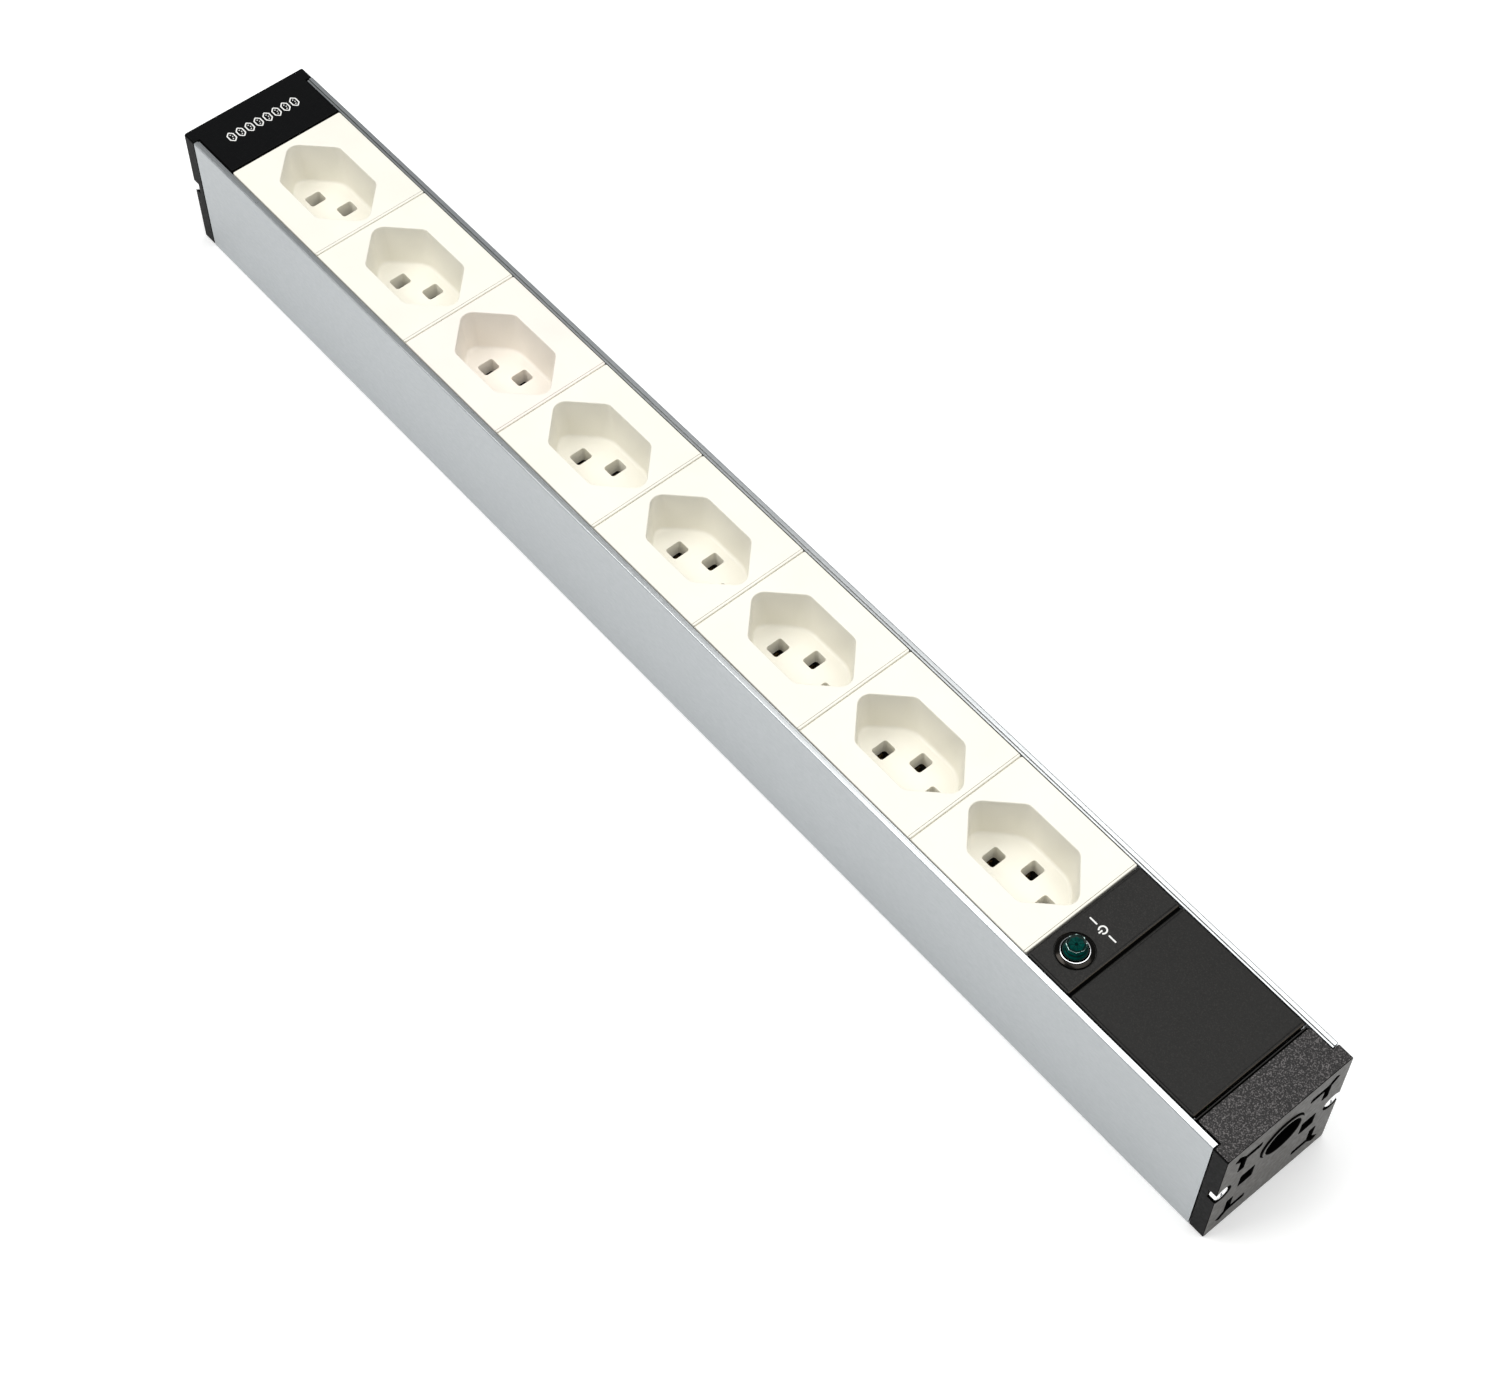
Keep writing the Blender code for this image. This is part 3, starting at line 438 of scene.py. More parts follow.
# Dark chrome for the lamp collar; on the channel's step it is painted shade.
DARK_CHROME_AND_STEP_SHADE = metal("dark_chrome_and_painted_step_shade", (0.02, 0.018, 0.016), 0.16, (1, 1, 1), 2500, 4e-7)
SHEET = plastic("insulating_sheet_fine", (0.50, 0.44, 0.33), 0.7, 0.12, 900, 2e-5)
BROWN = plastic("brown_insulation_fine", (0.14, 0.055, 0.02), 0.45, 0.08)
BLUE = plastic("blue_insulation_fine", (0.03, 0.11, 0.42), 0.45, 0.08)
INK = plastic("white_ink", (0.82, 0.82, 0.80), 0.55, 0.04, 2500, 3e-6)


def striped_insulation():
    """Green and yellow stripes, as on an earth wire."""
    g = Graph("green_yellow_insulation_fine")
    wave = g.add("ShaderNodeTexWave", {"Vector": g.coordinates, "Scale": 160.0, "Distortion": 0.4})
    stripe = g.remap(wave.outputs["Fac"], 0.45, 0.55, 0.0, 1.0)
    base = g.mix(stripe, (0.04, 0.22, 0.04, 1), (0.66, 0.56, 0.03, 1))
    fine = g.noise(2600, 3.0)
    return g.finish(base, g.remap(fine, 0.3, 0.7, 0.4, 0.52), g.bump(fine, 4e-6))


def green_lens(centre):
    """Tinted plastic with a dark middle and darker spokes around it; its foot is darkened as painted
    shade.
    """
    g = Graph("green_lens_fine")
    local = g.add("ShaderNodeVectorMath", {0: g.coordinates, 1: centre}, operation="SUBTRACT")
    axes = g.add("ShaderNodeSeparateXYZ", {0: local.outputs[0]})
    x, y = axes.outputs["X"], axes.outputs["Y"]
    away = g.math("SQRT", g.math("ADD", g.math("MULTIPLY", x, x), g.math("MULTIPLY", y, y)), 0.0)
    cloud = g.remap(g.noise(900, 3.0), 0.35, 0.65, 0.0, 1.0)
    base = g.mix(cloud, (0.0, 0.048, 0.040, 1), (0.0, 0.098, 0.080, 1))
    base = g.mix(g.remap(away, 2.4 * MM, 2.55 * MM, 0.5, 0.0), base, (0.0, 0.004, 0.004, 1))
    turns = g.math("MULTIPLY", g.math("ARCTAN2", y, x), 8.0)
    spokes = g.remap(g.math("SINE", turns, 0.0), 0.2, 1.0, 0.0, 0.75)
    near = g.remap(away, 0.8 * MM, 2.3 * MM, 1.0, 0.35)
    base = g.mix(g.math("MULTIPLY", spokes, near), base, (0.0, 0.012, 0.010, 1))
    base = g.mix(g.remap(away, 0.25 * MM, 0.55 * MM, 0.95, 0.0), base, (0.0, 0.004, 0.004, 1))
    # Painted shade: the foot beyond 3.1 mm is near-black.
    base = g.mix(g.remap(away, 3.02 * MM, 3.1 * MM, 0.0, 1.0), base, (0.0, 0.006, 0.005, 1))
    rough = g.remap(g.noise(1500, 3.0), 0.3, 0.7, 0.12, 0.2)
    return g.finish(base, rough, g.bump(cloud, 1e-5), Specular_IOR_Level=0.02)


EARTH_STRIPES = striped_insulation()
LENS_EDGE = metal("green_lens_edge", (0.26, 0.36, 0.34), 0.16, (1, 1, 1), 1500, 4e-7)
LENS_DARK = plastic("green_lens_shadow", (0.001, 0.012, 0.010), 0.2, 0.1, 1500, 4e-6, shine=0.1)


# ----------------------------------------------------------------- channel


def channel_outline():
    """The right half of the U section with its ledge and screw port, then its mirror image."""
    outer_edge, step_edge, base_edge = 0.4 * MM, 0.1 * MM, 0.5 * MM
    step_y, step_z = WALL_INNER + 0.6 * MM, HEIGHT - STEP_DEPTH
    port = (PORT_Y, PORT_Z)
    wall_turn = math.degrees(math.acos((WALL_INNER - PORT_Y) / PORT_OUTER))
    half = [
        *arc((HALF_WIDTH - base_edge, base_edge), base_edge, -90, 0, 4),
        *arc((HALF_WIDTH - outer_edge, HEIGHT - outer_edge), outer_edge, 0, 90, 4),
        *arc((step_y + step_edge, HEIGHT - step_edge), step_edge, 90, 180, 3),
        Vector((step_y, step_z)),
        *arc((WALL_INNER + step_edge, step_z - step_edge), step_edge, 90, 180, 3),
        Vector((WALL_INNER, LEDGE_TOP)),
        Vector((LEDGE_INNER, LEDGE_TOP)),
        Vector((LEDGE_INNER, LEDGE_BOTTOM)),
        Vector((WALL_INNER, LEDGE_BOTTOM)),
        *arc(port, PORT_OUTER, wall_turn, 160, 8),
        *arc(port, PORT_RADIUS, 146, -146, 24),
        *arc(port, PORT_OUTER, 200, 360 - wall_turn, 8),
        *arc((WALL_INNER - base_edge, CHANNEL_FLOOR + base_edge), base_edge, 0, -90, 4),
    ]
    return half + [Vector((-y, z)) for y, z in reversed(half)]


def build_channel():
    low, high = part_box("aluminium_channel")
    shell = Shell(across=True)
    burr = 0.1 * MM
    shell.slab(channel_outline(), [], eased(low.x, high.x, burr, burr, 2))
    made = shell.done("channel")
    channel = piece("extruded_channel", made, ALUMINIUM, ["aluminium_channel"])
    # Painted light: the upward faces take the lighter aluminium copy.
    zone(channel, LIT_TOP_ALUMINIUM, (0, 0, 1), 0.97)
    # Painted shade: the upright faces of the step under the wall top take the dark copy, as the shaded
    # corner of the step.
    channel.data.materials.append(DARK_CHROME_AND_STEP_SHADE)
    for face in channel.data.polygons:
        upright = abs(face.normal.y) > 0.5
        in_step = face.center.z > HEIGHT - STEP_DEPTH and abs(face.center.y) < WALL_INNER + 1 * MM
        if upright and in_step:
            face.material_index = 2


# ---------------------------------------------------------------- end caps


def bracket_slot(side, level):
    """One Y-shaped bracket slot in (Y, Z); side and level are +1 or -1 and pick the corner."""
    arm, start = 1.05 * MM, 8.65 * MM
    y, z = 14.9 * MM, 15.1 * MM
    reach, near, shift = 2.8 * MM, 0.31 * MM, arm / math.sqrt(2)
    corners = [
        (start, z - arm),
        (y - arm, z - arm),
        (y - arm, start),
        (y + arm, start),
        (y + arm, z - shift + near),
        (y + reach + shift, z + reach - shift),
        (y + reach - shift, z + reach + shift),
        (y - shift + near, z + arm),
        (start, z + arm),
    ]
    tip, bend = 0.45 * MM, 0.3 * MM
    radii = [tip, bend, tip, tip, bend, tip, tip, bend, tip]
    return [
        Vector((side * py, HEIGHT / 2 + level * pz)) for py, pz in rounded(corners, radii, 4)
    ]


def notch_tool(x_outer, way, side):
    """The recess around a screw head, flared at its mouth, with the port's hole behind it."""
    flare = 0.2 * MM
    radius = 3.15 * MM
    profile = [
        (PORT_RADIUS, -FLANGE - 1 * MM),
        (PORT_RADIUS, -NOTCH_DEPTH),
        (radius, -NOTCH_DEPTH),
        (radius, -flare),
        (radius + flare * 0.3, -flare * 0.3),
        (radius + flare, 0.0),
        (radius + flare, 1 * MM),
    ]
    facing = Matrix.Rotation(way * math.pi / 2, 4, "Y")
    place = Matrix.Translation((x_outer, side * PORT_Y, PORT_Z))
    return placed(lathe("notch", profile, 64), place @ facing)


def end_cap(name, node, way, pad_end, surface, holes):
    """A flange across the channel's end with a top pad up to pad_end and a web along each wall."""
    low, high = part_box(node)
    x_outer = high.x if way > 0 else low.x
    x_inner = x_outer - way * FLANGE
    edge = 0.25 * MM
    through = [bracket_slot(side, level) for side in (1, -1) for level in (1, -1)]
    tool_y, tool_half, tool_low, tool_high = 10.9 * MM, 2.45 * MM, 19.0 * MM, 25.0 * MM
    for side in (1, -1):
        middle = side * tool_y
        corners = ((middle - tool_half, tool_low), (middle + tool_half, tool_high))
        through.append(rectangle(*corners, 0.4 * MM, 4))
    shell = Shell(across=True)
    outline = rectangle((-HALF_WIDTH, 0), (HALF_WIDTH, HEIGHT), 0.8 * MM)
    profile = eased(min(x_outer, x_inner), max(x_outer, x_inner), edge, edge)
    shell.slab(outline, [*through, *holes], profile)
    flange = shell.done(name)
    bite = 1.0 * MM
    start = x_outer - way * (FLANGE - bite)
    x_low, x_high = sorted((start, pad_end))
    shell = Shell()
    pad_edge = 0.3 * MM
    pad = rectangle((x_low, -PLATE_HALF_Y), (x_high, PLATE_HALF_Y), 0.6 * MM)
    shell.slab(pad, [], eased(PLATE_BOTTOM, HEIGHT, 0, pad_edge))
    steps = [("UNION", shell.done("pad"))]
    web, web_y, web_reach = 1.2 * MM, 18.3 * MM, 5.0 * MM
    for side in (1, -1):
        edges = sorted((side * web_y, side * (web_y - web)))
        ends = sorted((start, x_outer - way * (FLANGE + web_reach)))
        bottom, top = 27.0 * MM, PLATE_BOTTOM + 0.8 * MM
        steps.append(("UNION", block((ends[0], edges[0], bottom), (ends[1], edges[1], top))))
    for side in (1, -1):
        steps.append(("DIFFERENCE", notch_tool(x_outer, way, side)))
    cap = piece(name, combined(flange, steps), SIDE_BLACK, [node])
    zone(cap, surface, (0, 0, 1))
    # Painted reflection: the end faces take the lighter black copy.
    zone(cap, END_FACE_REFLECTION_BLACK, (way, 0, 0))
    # Painted shade: the walls of the slots, notches and cable way inside the flange, and the rounded
    # edges, take the near-black.
    rim, bevel_closeness = 0.9 * MM, 0.87
    cap.data.materials.append(SHADE_BLACK)
    for face in cap.data.polygons:
        middle = face.center
        in_flange = abs(middle.x - x_outer) < FLANGE and abs(face.normal.x) < 0.8
        in_outline = abs(middle.y) < HALF_WIDTH - rim and rim < middle.z < HEIGHT - rim
        on_edge = max(abs(part) for part in face.normal) < bevel_closeness
        if (in_flange and in_outline) or on_edge:
            face.material_index = len(cap.data.materials) - 1


def groove_shelf(name, edge_x, way, reach):
    """The thin shelf that closes the groove beside a plate, from the plate's edge outwards."""
    ends = sorted((edge_x - way * 0.6 * MM, edge_x + way * reach))
    shell = Shell()
    outline = rectangle((ends[0], -PLATE_HALF_Y), (ends[1], PLATE_HALF_Y), 0.2 * MM, 3)
    shell.slab(outline, [], eased(PLATE_BOTTOM, PLATE_BOTTOM + 0.5 * MM, 0, 0.1 * MM, 3))
    # Painted shade: the shelf is near-black, so the groove reads as shaded.
    piece(name, shell.done(name), SHADE_BLACK)


def groove_rib(low_x):
    """The low rib that stands on the shelf between the blank plate and the cable cap."""
    half_y = PLATE_HALF_Y - 0.1 * MM
    shell = Shell()
    outline = rectangle((low_x, -half_y), (low_x + 0.4 * MM, half_y), 0.15 * MM, 3)
    shell.slab(outline, [], eased(PLATE_BOTTOM + 0.1 * MM, PLATE_TOP - 0.4 * MM, 0, 0.12 * MM, 3))
    piece("cable_groove_rib", shell.done("rib"), SMOOTH_BLACK)


def build_end_caps():
    closed_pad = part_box("end_cap_closed")[1].x
    end_cap("closed_end_cap_moulding", "end_cap_closed", -1, closed_pad, LABEL_BLACK, [])
    cable_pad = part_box("end_cap_cable")[0].x + TONGUE["cable"]
    groove_shelf("cable_groove_shelf", cable_pad, -1, TONGUE["cable"])
    groove_rib(cable_pad - 0.8 * MM)
    bush_low, bush_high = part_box("cable_bushing")
    middle = (bush_low + bush_high) / 2
    radius = (bush_high.z - bush_low.z) / 2
    cable_way = circle((middle.y, middle.z), radius + 0.3 * MM, 96)
    end_cap("cable_end_cap_moulding", "end_cap_cable", 1, cable_pad, COARSE_BLACK, [cable_way])
    depth = bush_high.x - bush_low.x
    inner, lip = 6.2 * MM, 0.25 * MM
    profile = [
        (inner, -depth),
        (inner, -lip),
        (inner + lip * 0.3, -lip * 0.3),
        (inner + lip, 0.0),
        (radius - lip, 0.0),
        (radius - lip * 0.3, -lip * 0.3),
        (radius, -lip),
        (radius, -depth),
    ]
    place = Matrix.Translation((bush_high.x, middle.y, middle.z))
    facing = Matrix.Rotation(math.pi / 2, 4, "Y")
    mesh = placed(lathe("bushing", profile, 96, hollow=True), place @ facing)
    # Painted shade: the bore takes the near-black; the faces that look along +X take the end face's
    # lighter copy, a painted reflection.
    ring = piece("cable_bushing_ring", mesh, SHADE_BLACK, ["cable_bushing"])
    zone(ring, END_FACE_REFLECTION_BLACK, (1, 0, 0))


def build_screws():
    """Four cheese-head screws with a cross recess, each on its own body."""
    head, shank, length = 2.15 * MM, 0.95 * MM, 11.85 * MM
    radius = 2.35 * MM
    profile = [
        (shank * 0.4, -length),
        (shank, -length + 0.6 * MM),
        (shank, -head),
        (radius - 0.1 * MM, -head),
        (radius, -head + 0.1 * MM),
        (radius, -0.4 * MM),
        (radius - 0.04 * MM, -0.24 * MM),
        (radius - 0.14 * MM, -0.1 * MM),
        (radius - 0.3 * MM, -0.03 * MM),
        (radius - 0.55 * MM, 0.0),
    ]
    arm, half_width, deep, taper = 1.5 * MM, 0.35 * MM, 1.1 * MM, 0.61
    rest_turn = 7
    quarter_cross = [(arm, -half_width), (arm, half_width), (half_width, half_width)]
    cross = [
        Matrix.Rotation(math.radians(90 * quarter + rest_turn), 2) @ Vector(point)
        for quarter in range(4)
        for point in quarter_cross
    ]
    for end in ("closed", "cable"):
        for side in ("near", "far"):
            node = f"end_cap_screw_{end}_{side}"
            low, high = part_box(node)
            way = 1 if end == "cable" else -1
            middle = (low + high) / 2
            top = high.x if way > 0 else low.x
            facing = Matrix.Rotation(way * math.pi / 2, 4, "Y")
            place = Matrix.Translation((top, middle.y, middle.z)) @ facing
            shell = Shell()
            mouth = offset(cross, 0.1 * MM)
            rings = [
                shell.ring([point * taper for point in cross], -deep),
                shell.ring(cross, -0.12 * MM),
                shell.ring(mouth, 0.0),
                shell.ring(mouth, 0.5 * MM),
            ]
            shell.skin(rings)
            shell.fill([rings[0]])
            shell.fill([rings[-1]])
            made = combined(lathe("screw", profile, 64), [("DIFFERENCE", shell.done("cross"))])
            made = placed(made, place)
            body = node + "_body"
            piece(node + "_turned", made, ZINC, [node], body, sharp=35)


# ----------------------------------------------------------------- sockets


def clip_skirts(length, middle=0.0):
    """A skirt along each side whose barb snaps under the channel's ledge."""
    outer, inner = LEDGE_INNER - 0.3 * MM, 16.9 * MM
    barb = WALL_INNER - 0.5 * MM
    top = PLATE_BOTTOM + 0.9 * MM
    section = [
        (inner, top),
        (inner, 36.0 * MM),
        (outer, 36.0 * MM),
        (outer, 38.0 * MM),
        (barb, 38.8 * MM),
        (barb, LEDGE_BOTTOM - 0.3 * MM),
        (outer, LEDGE_BOTTOM - 0.3 * MM),
        (outer, top),
    ]
    tools = []
    for side in (1, -1):
        shell = Shell(across=True)
        outline = [Vector((side * y, z)) for y, z in section]
        shell.slab(outline, [], [(0.0, middle - length / 2), (0.0, middle + length / 2)])
        tools.append(("UNION", shell.done("skirt")))
    return tools


def joint_line(half_x):
    """Cuts the fine line that runs beside a socket plate's +X edge."""
    far, near = half_x - 0.64 * MM, half_x - 0.79 * MM
    low = (near, -WALL_INNER, PLATE_TOP - 0.8 * MM)
    return block(low, (far, WALL_INNER, PLATE_TOP + 1 * MM))


def joint_shelf(half_x):
    """The lip under the next plate's edge, which closes the joint between two sockets."""
    reach = 0.22 * MM
    low = (half_x - 1.0 * MM, 0.2 * MM - PLATE_HALF_Y, PLATE_BOTTOM)
    return block(low, (half_x + reach, PLATE_HALF_Y - 0.2 * MM, PLATE_TOP - 0.8 * MM))


def socket_mesh(half_x, next_is_socket=True):
    """One moulded socket face: a plate with eased edges, a six-sided recess and three pin holes."""
    shell = Shell()
    plate_edge, rim_edge, fillet, pin_edge = 0.3 * MM, 0.35 * MM, 1.1 * MM, 0.18 * MM
    margin = 0.4 * MM
    plate = rectangle((-half_x, -PLATE_HALF_Y), (half_x, PLATE_HALF_Y), 0.5 * MM, 6)
    profile = [*eased(PLATE_BOTTOM, PLATE_TOP, 0, plate_edge), (plate_edge + 0.15 * MM, PLATE_TOP)]
    sides = [shell.ring(offset(plate, -inset), level) for inset, level in profile]
    shell.skin(sides)
    rim = hexagon(20.5 * MM, 10.95 * MM, 3.6 * MM, 3.0 * MM)
    floor = hexagon(19.7 * MM, 10.6 * MM, 3.6 * MM, 9.0 * MM)
    quarter = [math.pi / 2 * step / 5 for step in range(6)]
    recess = [shell.ring(offset(rim, rim_edge + margin), PLATE_TOP)]
    recess += [
        shell.ring(offset(rim, rim_edge * (1 - math.sin(t))), PLATE_TOP - rim_edge * (1 - math.cos(t)))
        for t in quarter
    ]
    wall_top, wall_bottom = PLATE_TOP - rim_edge, RECESS_FLOOR + fillet
    spans = 8
    for step in range(1, spans + 1):
        share = step / spans
        level = wall_top + (wall_bottom - wall_top) * share
        recess.append(shell.ring(blended(rim, floor, share), level))
    for t in quarter[1:]:
        inset = fillet * (1 - math.cos(t))
        recess.append(shell.ring(offset(floor, -inset), wall_bottom - fillet * math.sin(t)))
    shell.skin(recess)
    pins = []
    pin_hole = rectangle((-2.15 * MM, -2.65 * MM), (2.15 * MM, 2.65 * MM), 0.8 * MM, 5)
    for x, y in ((-PIN_X, 0.0), (PIN_X, 0.0), (0.0, EARTH_PIN_Y)):
        hole = moved(pin_hole, x, y)
        rings = []
        for t in quarter[::2] + quarter[-1:]:
            level = RECESS_FLOOR - pin_edge * (1 - math.cos(t))
            rings.append(shell.ring(offset(hole, pin_edge * (1 - math.sin(t))), level))
        rings.append(shell.ring(hole, CUP_BOTTOM))
        shell.skin(rings)
        pins.append(rings)
    cup = offset(rim, CUP_WALL)
    cup_top = shell.ring(cup, PLATE_BOTTOM)
    cup_low = shell.ring(cup, CUP_BOTTOM)
    shell.band(cup_top, cup_low)
    shell.fill([sides[-1], recess[0]])
    shell.fill([recess[-1], *[rings[0] for rings in pins]])
    shell.fill([cup_low, *[rings[-1] for rings in pins]])
    shell.fill([sides[0], cup_top])
    skirt_length = 26.0 * MM
    steps = [*clip_skirts(skirt_length), ("DIFFERENCE", joint_line(half_x))]
    if next_is_socket:
        steps.append(("UNION", joint_shelf(half_x)))
    return combined(shell.done("socket"), steps)


def build_sockets():
    low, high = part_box("socket_face_1")
    mesh = socket_mesh((high.x - low.x) / 2)
    last_mesh = socket_mesh((high.x - low.x) / 2, next_is_socket=False)
    for number in range(1, SOCKETS + 1):
        node = f"socket_face_{number}"
        low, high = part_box(node)
        source = last_mesh if number == SOCKETS else mesh
        copy = placed(source.copy(), Matrix.Translation(((low.x + high.x) / 2, 0, 0)))
        warm = number == 3
        piece(f"socket_moulding_{number}", copy, WARM_WHITE if warm else WHITE, [node])


# ------------------------------------------------------------ cover plates


def build_covers():
    """The lamp plate with its hole and sunk seat, and the blank plate."""
    lens_low, lens_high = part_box("lamp_lens")
    lamp = (lens_low + lens_high) / 2
    edge = 0.35 * MM
    for node, name in (("lamp_plate", "lamp_cover_plate"), ("blank_plate", "blank_cover_plate")):
        low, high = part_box(node)
        if node == "lamp_plate":
            high.x -= TONGUE["lamp"]
            groove_shelf("lamp_groove_shelf", high.x, 1, TONGUE["lamp"])
        shell = Shell()
        outline = rectangle((low.x, -PLATE_HALF_Y), (high.x, PLATE_HALF_Y), 0.6 * MM)
        holes = [circle((lamp.x, lamp.y), 3.9 * MM)] if node == "lamp_plate" else []
        border = [(edge + step * 0.15 * MM, PLATE_TOP) for step in (1, 2, 3)]
        shell.slab(outline, holes, [*eased(PLATE_BOTTOM, PLATE_TOP, 0, edge), *border])
        steps = clip_skirts(high.x - low.x - 5 * MM, (low.x + high.x) / 2)
        if holes:
            sunk = [(5.45 * MM, -0.5 * MM), (5.45 * MM, -0.1 * MM), (5.6 * MM, 0.1 * MM)]
            seat = placed(lathe("seat", sunk), Matrix.Translation((lamp.x, lamp.y, PLATE_TOP)))
            steps.append(("DIFFERENCE", seat))
        surface = LAMP_PLATE_BLACK if holes else SMOOTH_BLACK
        cover = piece(name, combined(shell.done(node), steps), surface, [node])
        # Painted highlight: the rounded edges that face +X and up take the tan copy.
        highlight_facing = (0.71, 0, 0.71)
        zone(cover, EDGE_HIGHLIGHT_BLACK, highlight_facing, 0.93)


def build_lamp():
    """The collar, bright only on its crest, and the stepped lens with its octagonal head."""
    low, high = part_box("lamp_lens")
    middle = (low + high) / 2
    place = Matrix.Translation((middle.x, middle.y, PLATE_TOP))
    crest, crest_edge = 3.86 * MM, 0.12 * MM
    collar = [
        (2.9 * MM, -10.0 * MM),
        (2.9 * MM, 0.30 * MM),
        (3.0 * MM, 0.40 * MM),
        (3.5 * MM, 0.44 * MM),
        (3.6 * MM, 0.50 * MM),
        (3.68 * MM, 0.66 * MM),
        (3.76 * MM, 0.72 * MM),
        (3.86 * MM, 0.71 * MM),
        (3.96 * MM, 0.68 * MM),
        (4.04 * MM, 0.60 * MM),
        (4.10 * MM, 0.46 * MM),
        (5.0 * MM, 0.14 * MM),
        (5.12 * MM, 0.05 * MM),
        (5.15 * MM, -0.05 * MM),
        (5.15 * MM, -0.2 * MM),
        (3.6 * MM, -0.2 * MM),
        (3.6 * MM, -10.0 * MM),
    ]
    mesh = placed(lathe("collar", collar, 128, hollow=True), place)
    bezel = piece("lamp_bezel", mesh, CHROME, ["lamp_collar"], sharp=40)
    bezel.data.materials.append(DARK_CHROME_AND_STEP_SHADE)
    for face in bezel.data.polygons:
        away = math.hypot(face.center.x - middle.x, face.center.y - middle.y)
        if abs(away - crest) > crest_edge:
            face.material_index = 1
    lens = [
        (2.6 * MM, -6.5 * MM),
        (2.6 * MM, 0.9 * MM),
        (3.35 * MM, 0.9 * MM),
        (3.42 * MM, 0.98 * MM),
        (3.42 * MM, 1.04 * MM),
        (3.36 * MM, 1.12 * MM),
        (3.22 * MM, 1.15 * MM),
        (3.04 * MM, 1.10 * MM),
        (2.98 * MM, 1.2 * MM),
        (2.94 * MM, 2.1 * MM),
        (2.84 * MM, 2.22 * MM),
        (2.76 * MM, 2.4 * MM, 8),
        (2.74 * MM, 3.8 * MM, 8),
        (2.67 * MM, 3.93 * MM, 8),
        (2.58 * MM, 3.98 * MM, 8),
        (2.48 * MM, 3.93 * MM, 8),
        (1.98 * MM, 3.72 * MM, 8),
        (1.2 * MM, 3.70 * MM),
        (0.5 * MM, 3.62 * MM),
        (0.3 * MM, 3.4 * MM),
    ]
    mesh = placed(lathe("lens", lens, 96), place)
    jewel = piece("lamp_jewel", mesh, green_lens(middle), ["lamp_lens"], sharp=30)
    jewel.data.materials.append(LENS_EDGE)
    jewel.data.materials.append(LENS_DARK)
    for face in jewel.data.polygons:
        height = face.center.z - PLATE_TOP
        away = math.hypot(face.center.x - middle.x, face.center.y - middle.y)
        head_rim, head_inside = height > 3.8 * MM, away < 2.52 * MM
        shoulder = 2.1 * MM < height < 2.35 * MM
        foot = height > 1.0 * MM and away > 3.05 * MM
        if head_rim and not head_inside:
            face.material_index = 1
        elif head_rim or shoulder or foot:
            face.material_index = 2


# ------------------------------------------------------------------ prints


def printed(name, level, outlines, place):
    """Pad-printed ink, a few hundredths of a millimetre thick; each entry is (outer, holes)."""
    shell = Shell()
    for outer, holes in outlines:
        outer = [place @ p for p in outer]
        holes = [[place @ p for p in hole] for hole in holes]
        shell.slab(outer, holes, [(0.0, level - 0.01 * MM), (0.0, level + 0.03 * MM)])
    piece(name, shell.done(name), INK)


class Placing:
    """Turns and moves outline points."""

    def __init__(self, x, y, degrees=0.0):
        self.turn = Matrix.Rotation(math.radians(degrees), 2)
        self.move = Vector((x, y))

    def __matmul__(self, point):
        return self.turn @ point + self.move


def build_prints():
    """A standby symbol between two dashes, and a row of small socket outlines."""
    radius, stroke = 1.3 * MM, 0.44 * MM
    broken_ring = [*arc((0, 0), radius, 125, 415, 40), *arc((0, 0), radius - stroke, 415, 125, 40)]
    mark = rectangle((-stroke / 2, 0.2 * MM), (stroke / 2, radius + 0.2 * MM), 0.1 * MM, 3)
    dash = rectangle((2.1 * MM, -stroke / 2), (4.75 * MM, stroke / 2), 0.15 * MM, 3)
    dashes = [(dash, []), ([-p for p in dash], [])]
    low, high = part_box("lamp_plate")
    middle = (low.x + high.x - TONGUE["lamp"]) / 2
    power = [(broken_ring, []), (mark, []), *dashes]
    printed("power_symbol_print", PLATE_TOP, power, Placing(middle, -0.35 * MM, 180))
    icons, spacing = [], 3.3 * MM
    for number in range(SOCKETS):
        y = (number - (SOCKETS - 1) / 2) * spacing
        outer = hexagon(2.3 * MM, 1.25 * MM, 0.4 * MM, 0.4 * MM, 3)
        inner = offset(outer, -0.38 * MM)
        icons.append((moved(outer, 0, y), [moved(inner, 0, y)]))
        for x, shift in ((-0.85 * MM, 0.0), (0.85 * MM, 0.0), (0.0, 0.3 * MM)):
            icons.append((circle((x, y + shift), 0.2 * MM, 12), []))
    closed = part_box("end_cap_closed")[0].x + 10.35 * MM
    printed("socket_count_print", HEIGHT, icons, Placing(closed, 0.0))


# ------------------------------------------------- CAD nodes that stay as they are


def dress_inner_nodes():
    """Gives every inner node the finish that its name starts with."""
    finishes = {
        "contact_carrier": CARRIER,
        "lamp_body": CARRIER,
        "terminal_block": CARRIER,
        "line_contact_rail": BRASS,
        "neutral_contact_rail": BRASS,
        "earth_contact_rail": BRASS,
        "insulating_liner": SHEET,
        "lamp_nut": STEEL,
        "terminal_screw": STEEL,
        "earth_lug": STEEL,
        "earth_screw": STEEL,
        "line_wire": BROWN,
        "neutral_wire": BLUE,
        "lamp_lead_line": BROWN,
        "lamp_lead_neutral": BLUE,
        "earth_wire": EARTH_STRIPES,
        "earth_bond_wire": EARTH_STRIPES,
    }
    for name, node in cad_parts.items():
        for start, finish in finishes.items():
            if name.startswith(start):
                for place in node.material_slots:
                    place.material = finish


build_channel()
build_end_caps()
build_screws()
build_sockets()
build_covers()
build_lamp()
build_prints()
dress_inner_nodes()


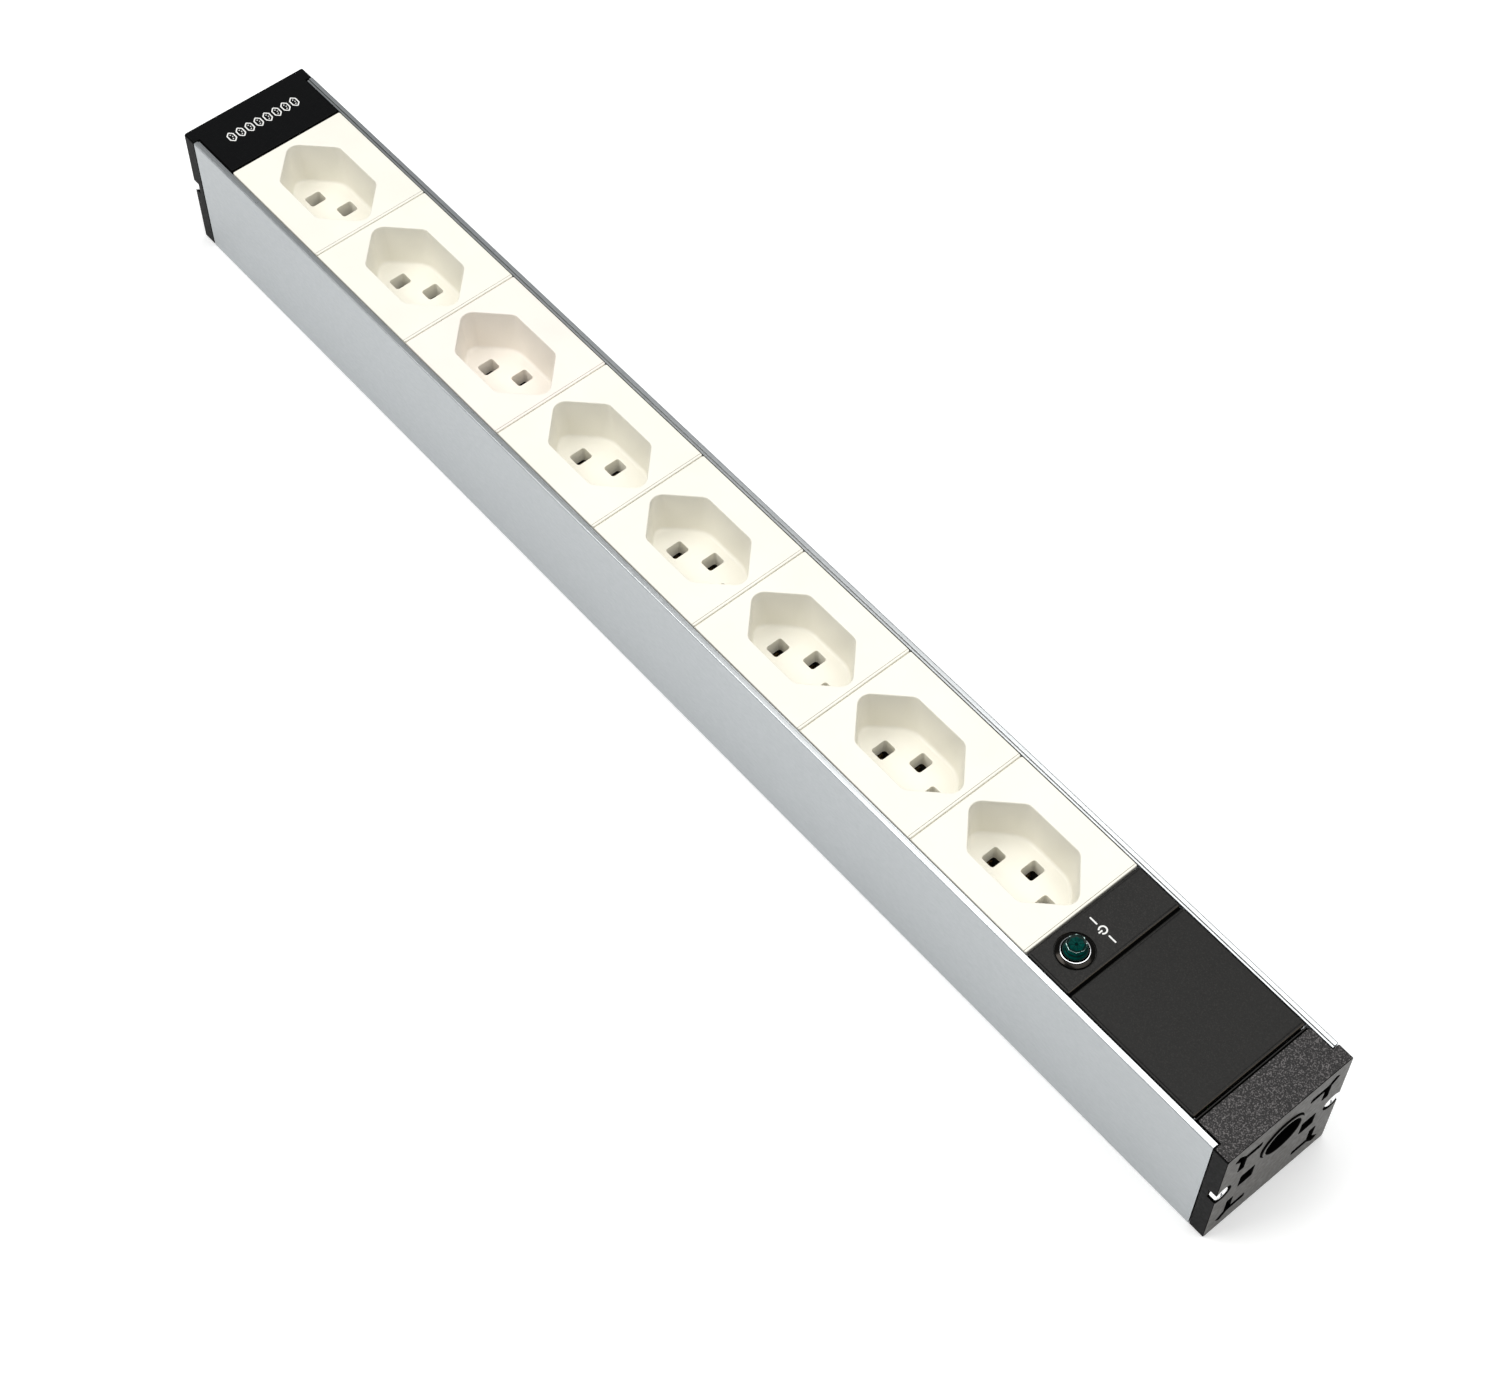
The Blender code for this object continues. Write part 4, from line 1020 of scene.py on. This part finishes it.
# ------------------------------------------------------------------- stage


def build_floor():
    radius, gap = 6.0, 0.05 * MM
    shell = Shell()
    ring = shell.ring(circle((0, 0), radius, 96), -gap)
    shell.mesh.faces.new(ring)
    mesh = shell.done("floor")
    g = Graph("pale_floor")
    cloud = g.noise(3, 2.0)
    base = g.mix(g.remap(cloud, 0.3, 0.7, 0.0, 1.0), (0.93, 0.93, 0.93, 1), (0.95, 0.95, 0.95, 1))
    rough = g.remap(cloud, 0.0, 1.0, 0.7, 0.8)
    glow = {"Emission_Color": (1, 1, 1, 1), "Emission_Strength": 0.22}
    mesh.materials.append(g.finish(base, rough, g.bump(cloud, 1e-5), **glow))
    floor = bpy.data.objects.new("floor", mesh)
    bpy.context.scene.collection.objects.link(floor)


def area_light(name, place, target, size, power, colour):
    light = bpy.data.lights.new(name, "AREA")
    light.shape = "RECTANGLE"
    light.size, light.size_y = size
    light.energy = power
    light.color = colour
    obj = bpy.data.objects.new(name, light)
    obj.location = place
    obj.rotation_euler = (Vector(target) - Vector(place)).to_track_quat("-Z", "Y").to_euler()
    bpy.context.scene.collection.objects.link(obj)


def build_lights():
    warm = (1.0, 0.995, 0.98)
    area_light("overhead", (0.29, 0.26, 1.15), (0.29, 0.26, 0), (1.42, 1.18), 12.25, warm)
    area_light("front_left", (-0.42, -0.62, 1.1), (-0.05, 0, 0), (0.8, 0.6), 7.8, warm)
    world = bpy.data.worlds.new("studio")
    world.use_nodes = True
    background = world.node_tree.nodes["Background"]
    background.inputs["Color"].default_value = (0.95, 0.98, 1.0, 1)
    background.inputs["Strength"].default_value = 0.30
    bpy.context.scene.world = world


def build_camera():
    """A 69 mm view from above the cable end, aimed at the floor near the strip's middle."""
    lens = bpy.data.cameras.new("camera")
    lens.lens = 69.21
    lens.sensor_width = 36.0
    lens.clip_start = 0.01
    camera = bpy.data.objects.new("camera", lens)
    place = Vector((0.36208, -0.29937, 0.68314))
    target = Vector((0.022783, -0.003616, 0.0))
    roll = math.radians(0.859)
    aim = (target - place).to_track_quat("-Z", "Y").to_matrix().to_4x4()
    camera.matrix_world = Matrix.Translation(place) @ aim @ Matrix.Rotation(roll, 4, "Z")
    bpy.context.scene.collection.objects.link(camera)
    bpy.context.scene.camera = camera


build_floor()
build_lights()
build_camera()
bpy.context.scene.view_settings.view_transform = "Standard"
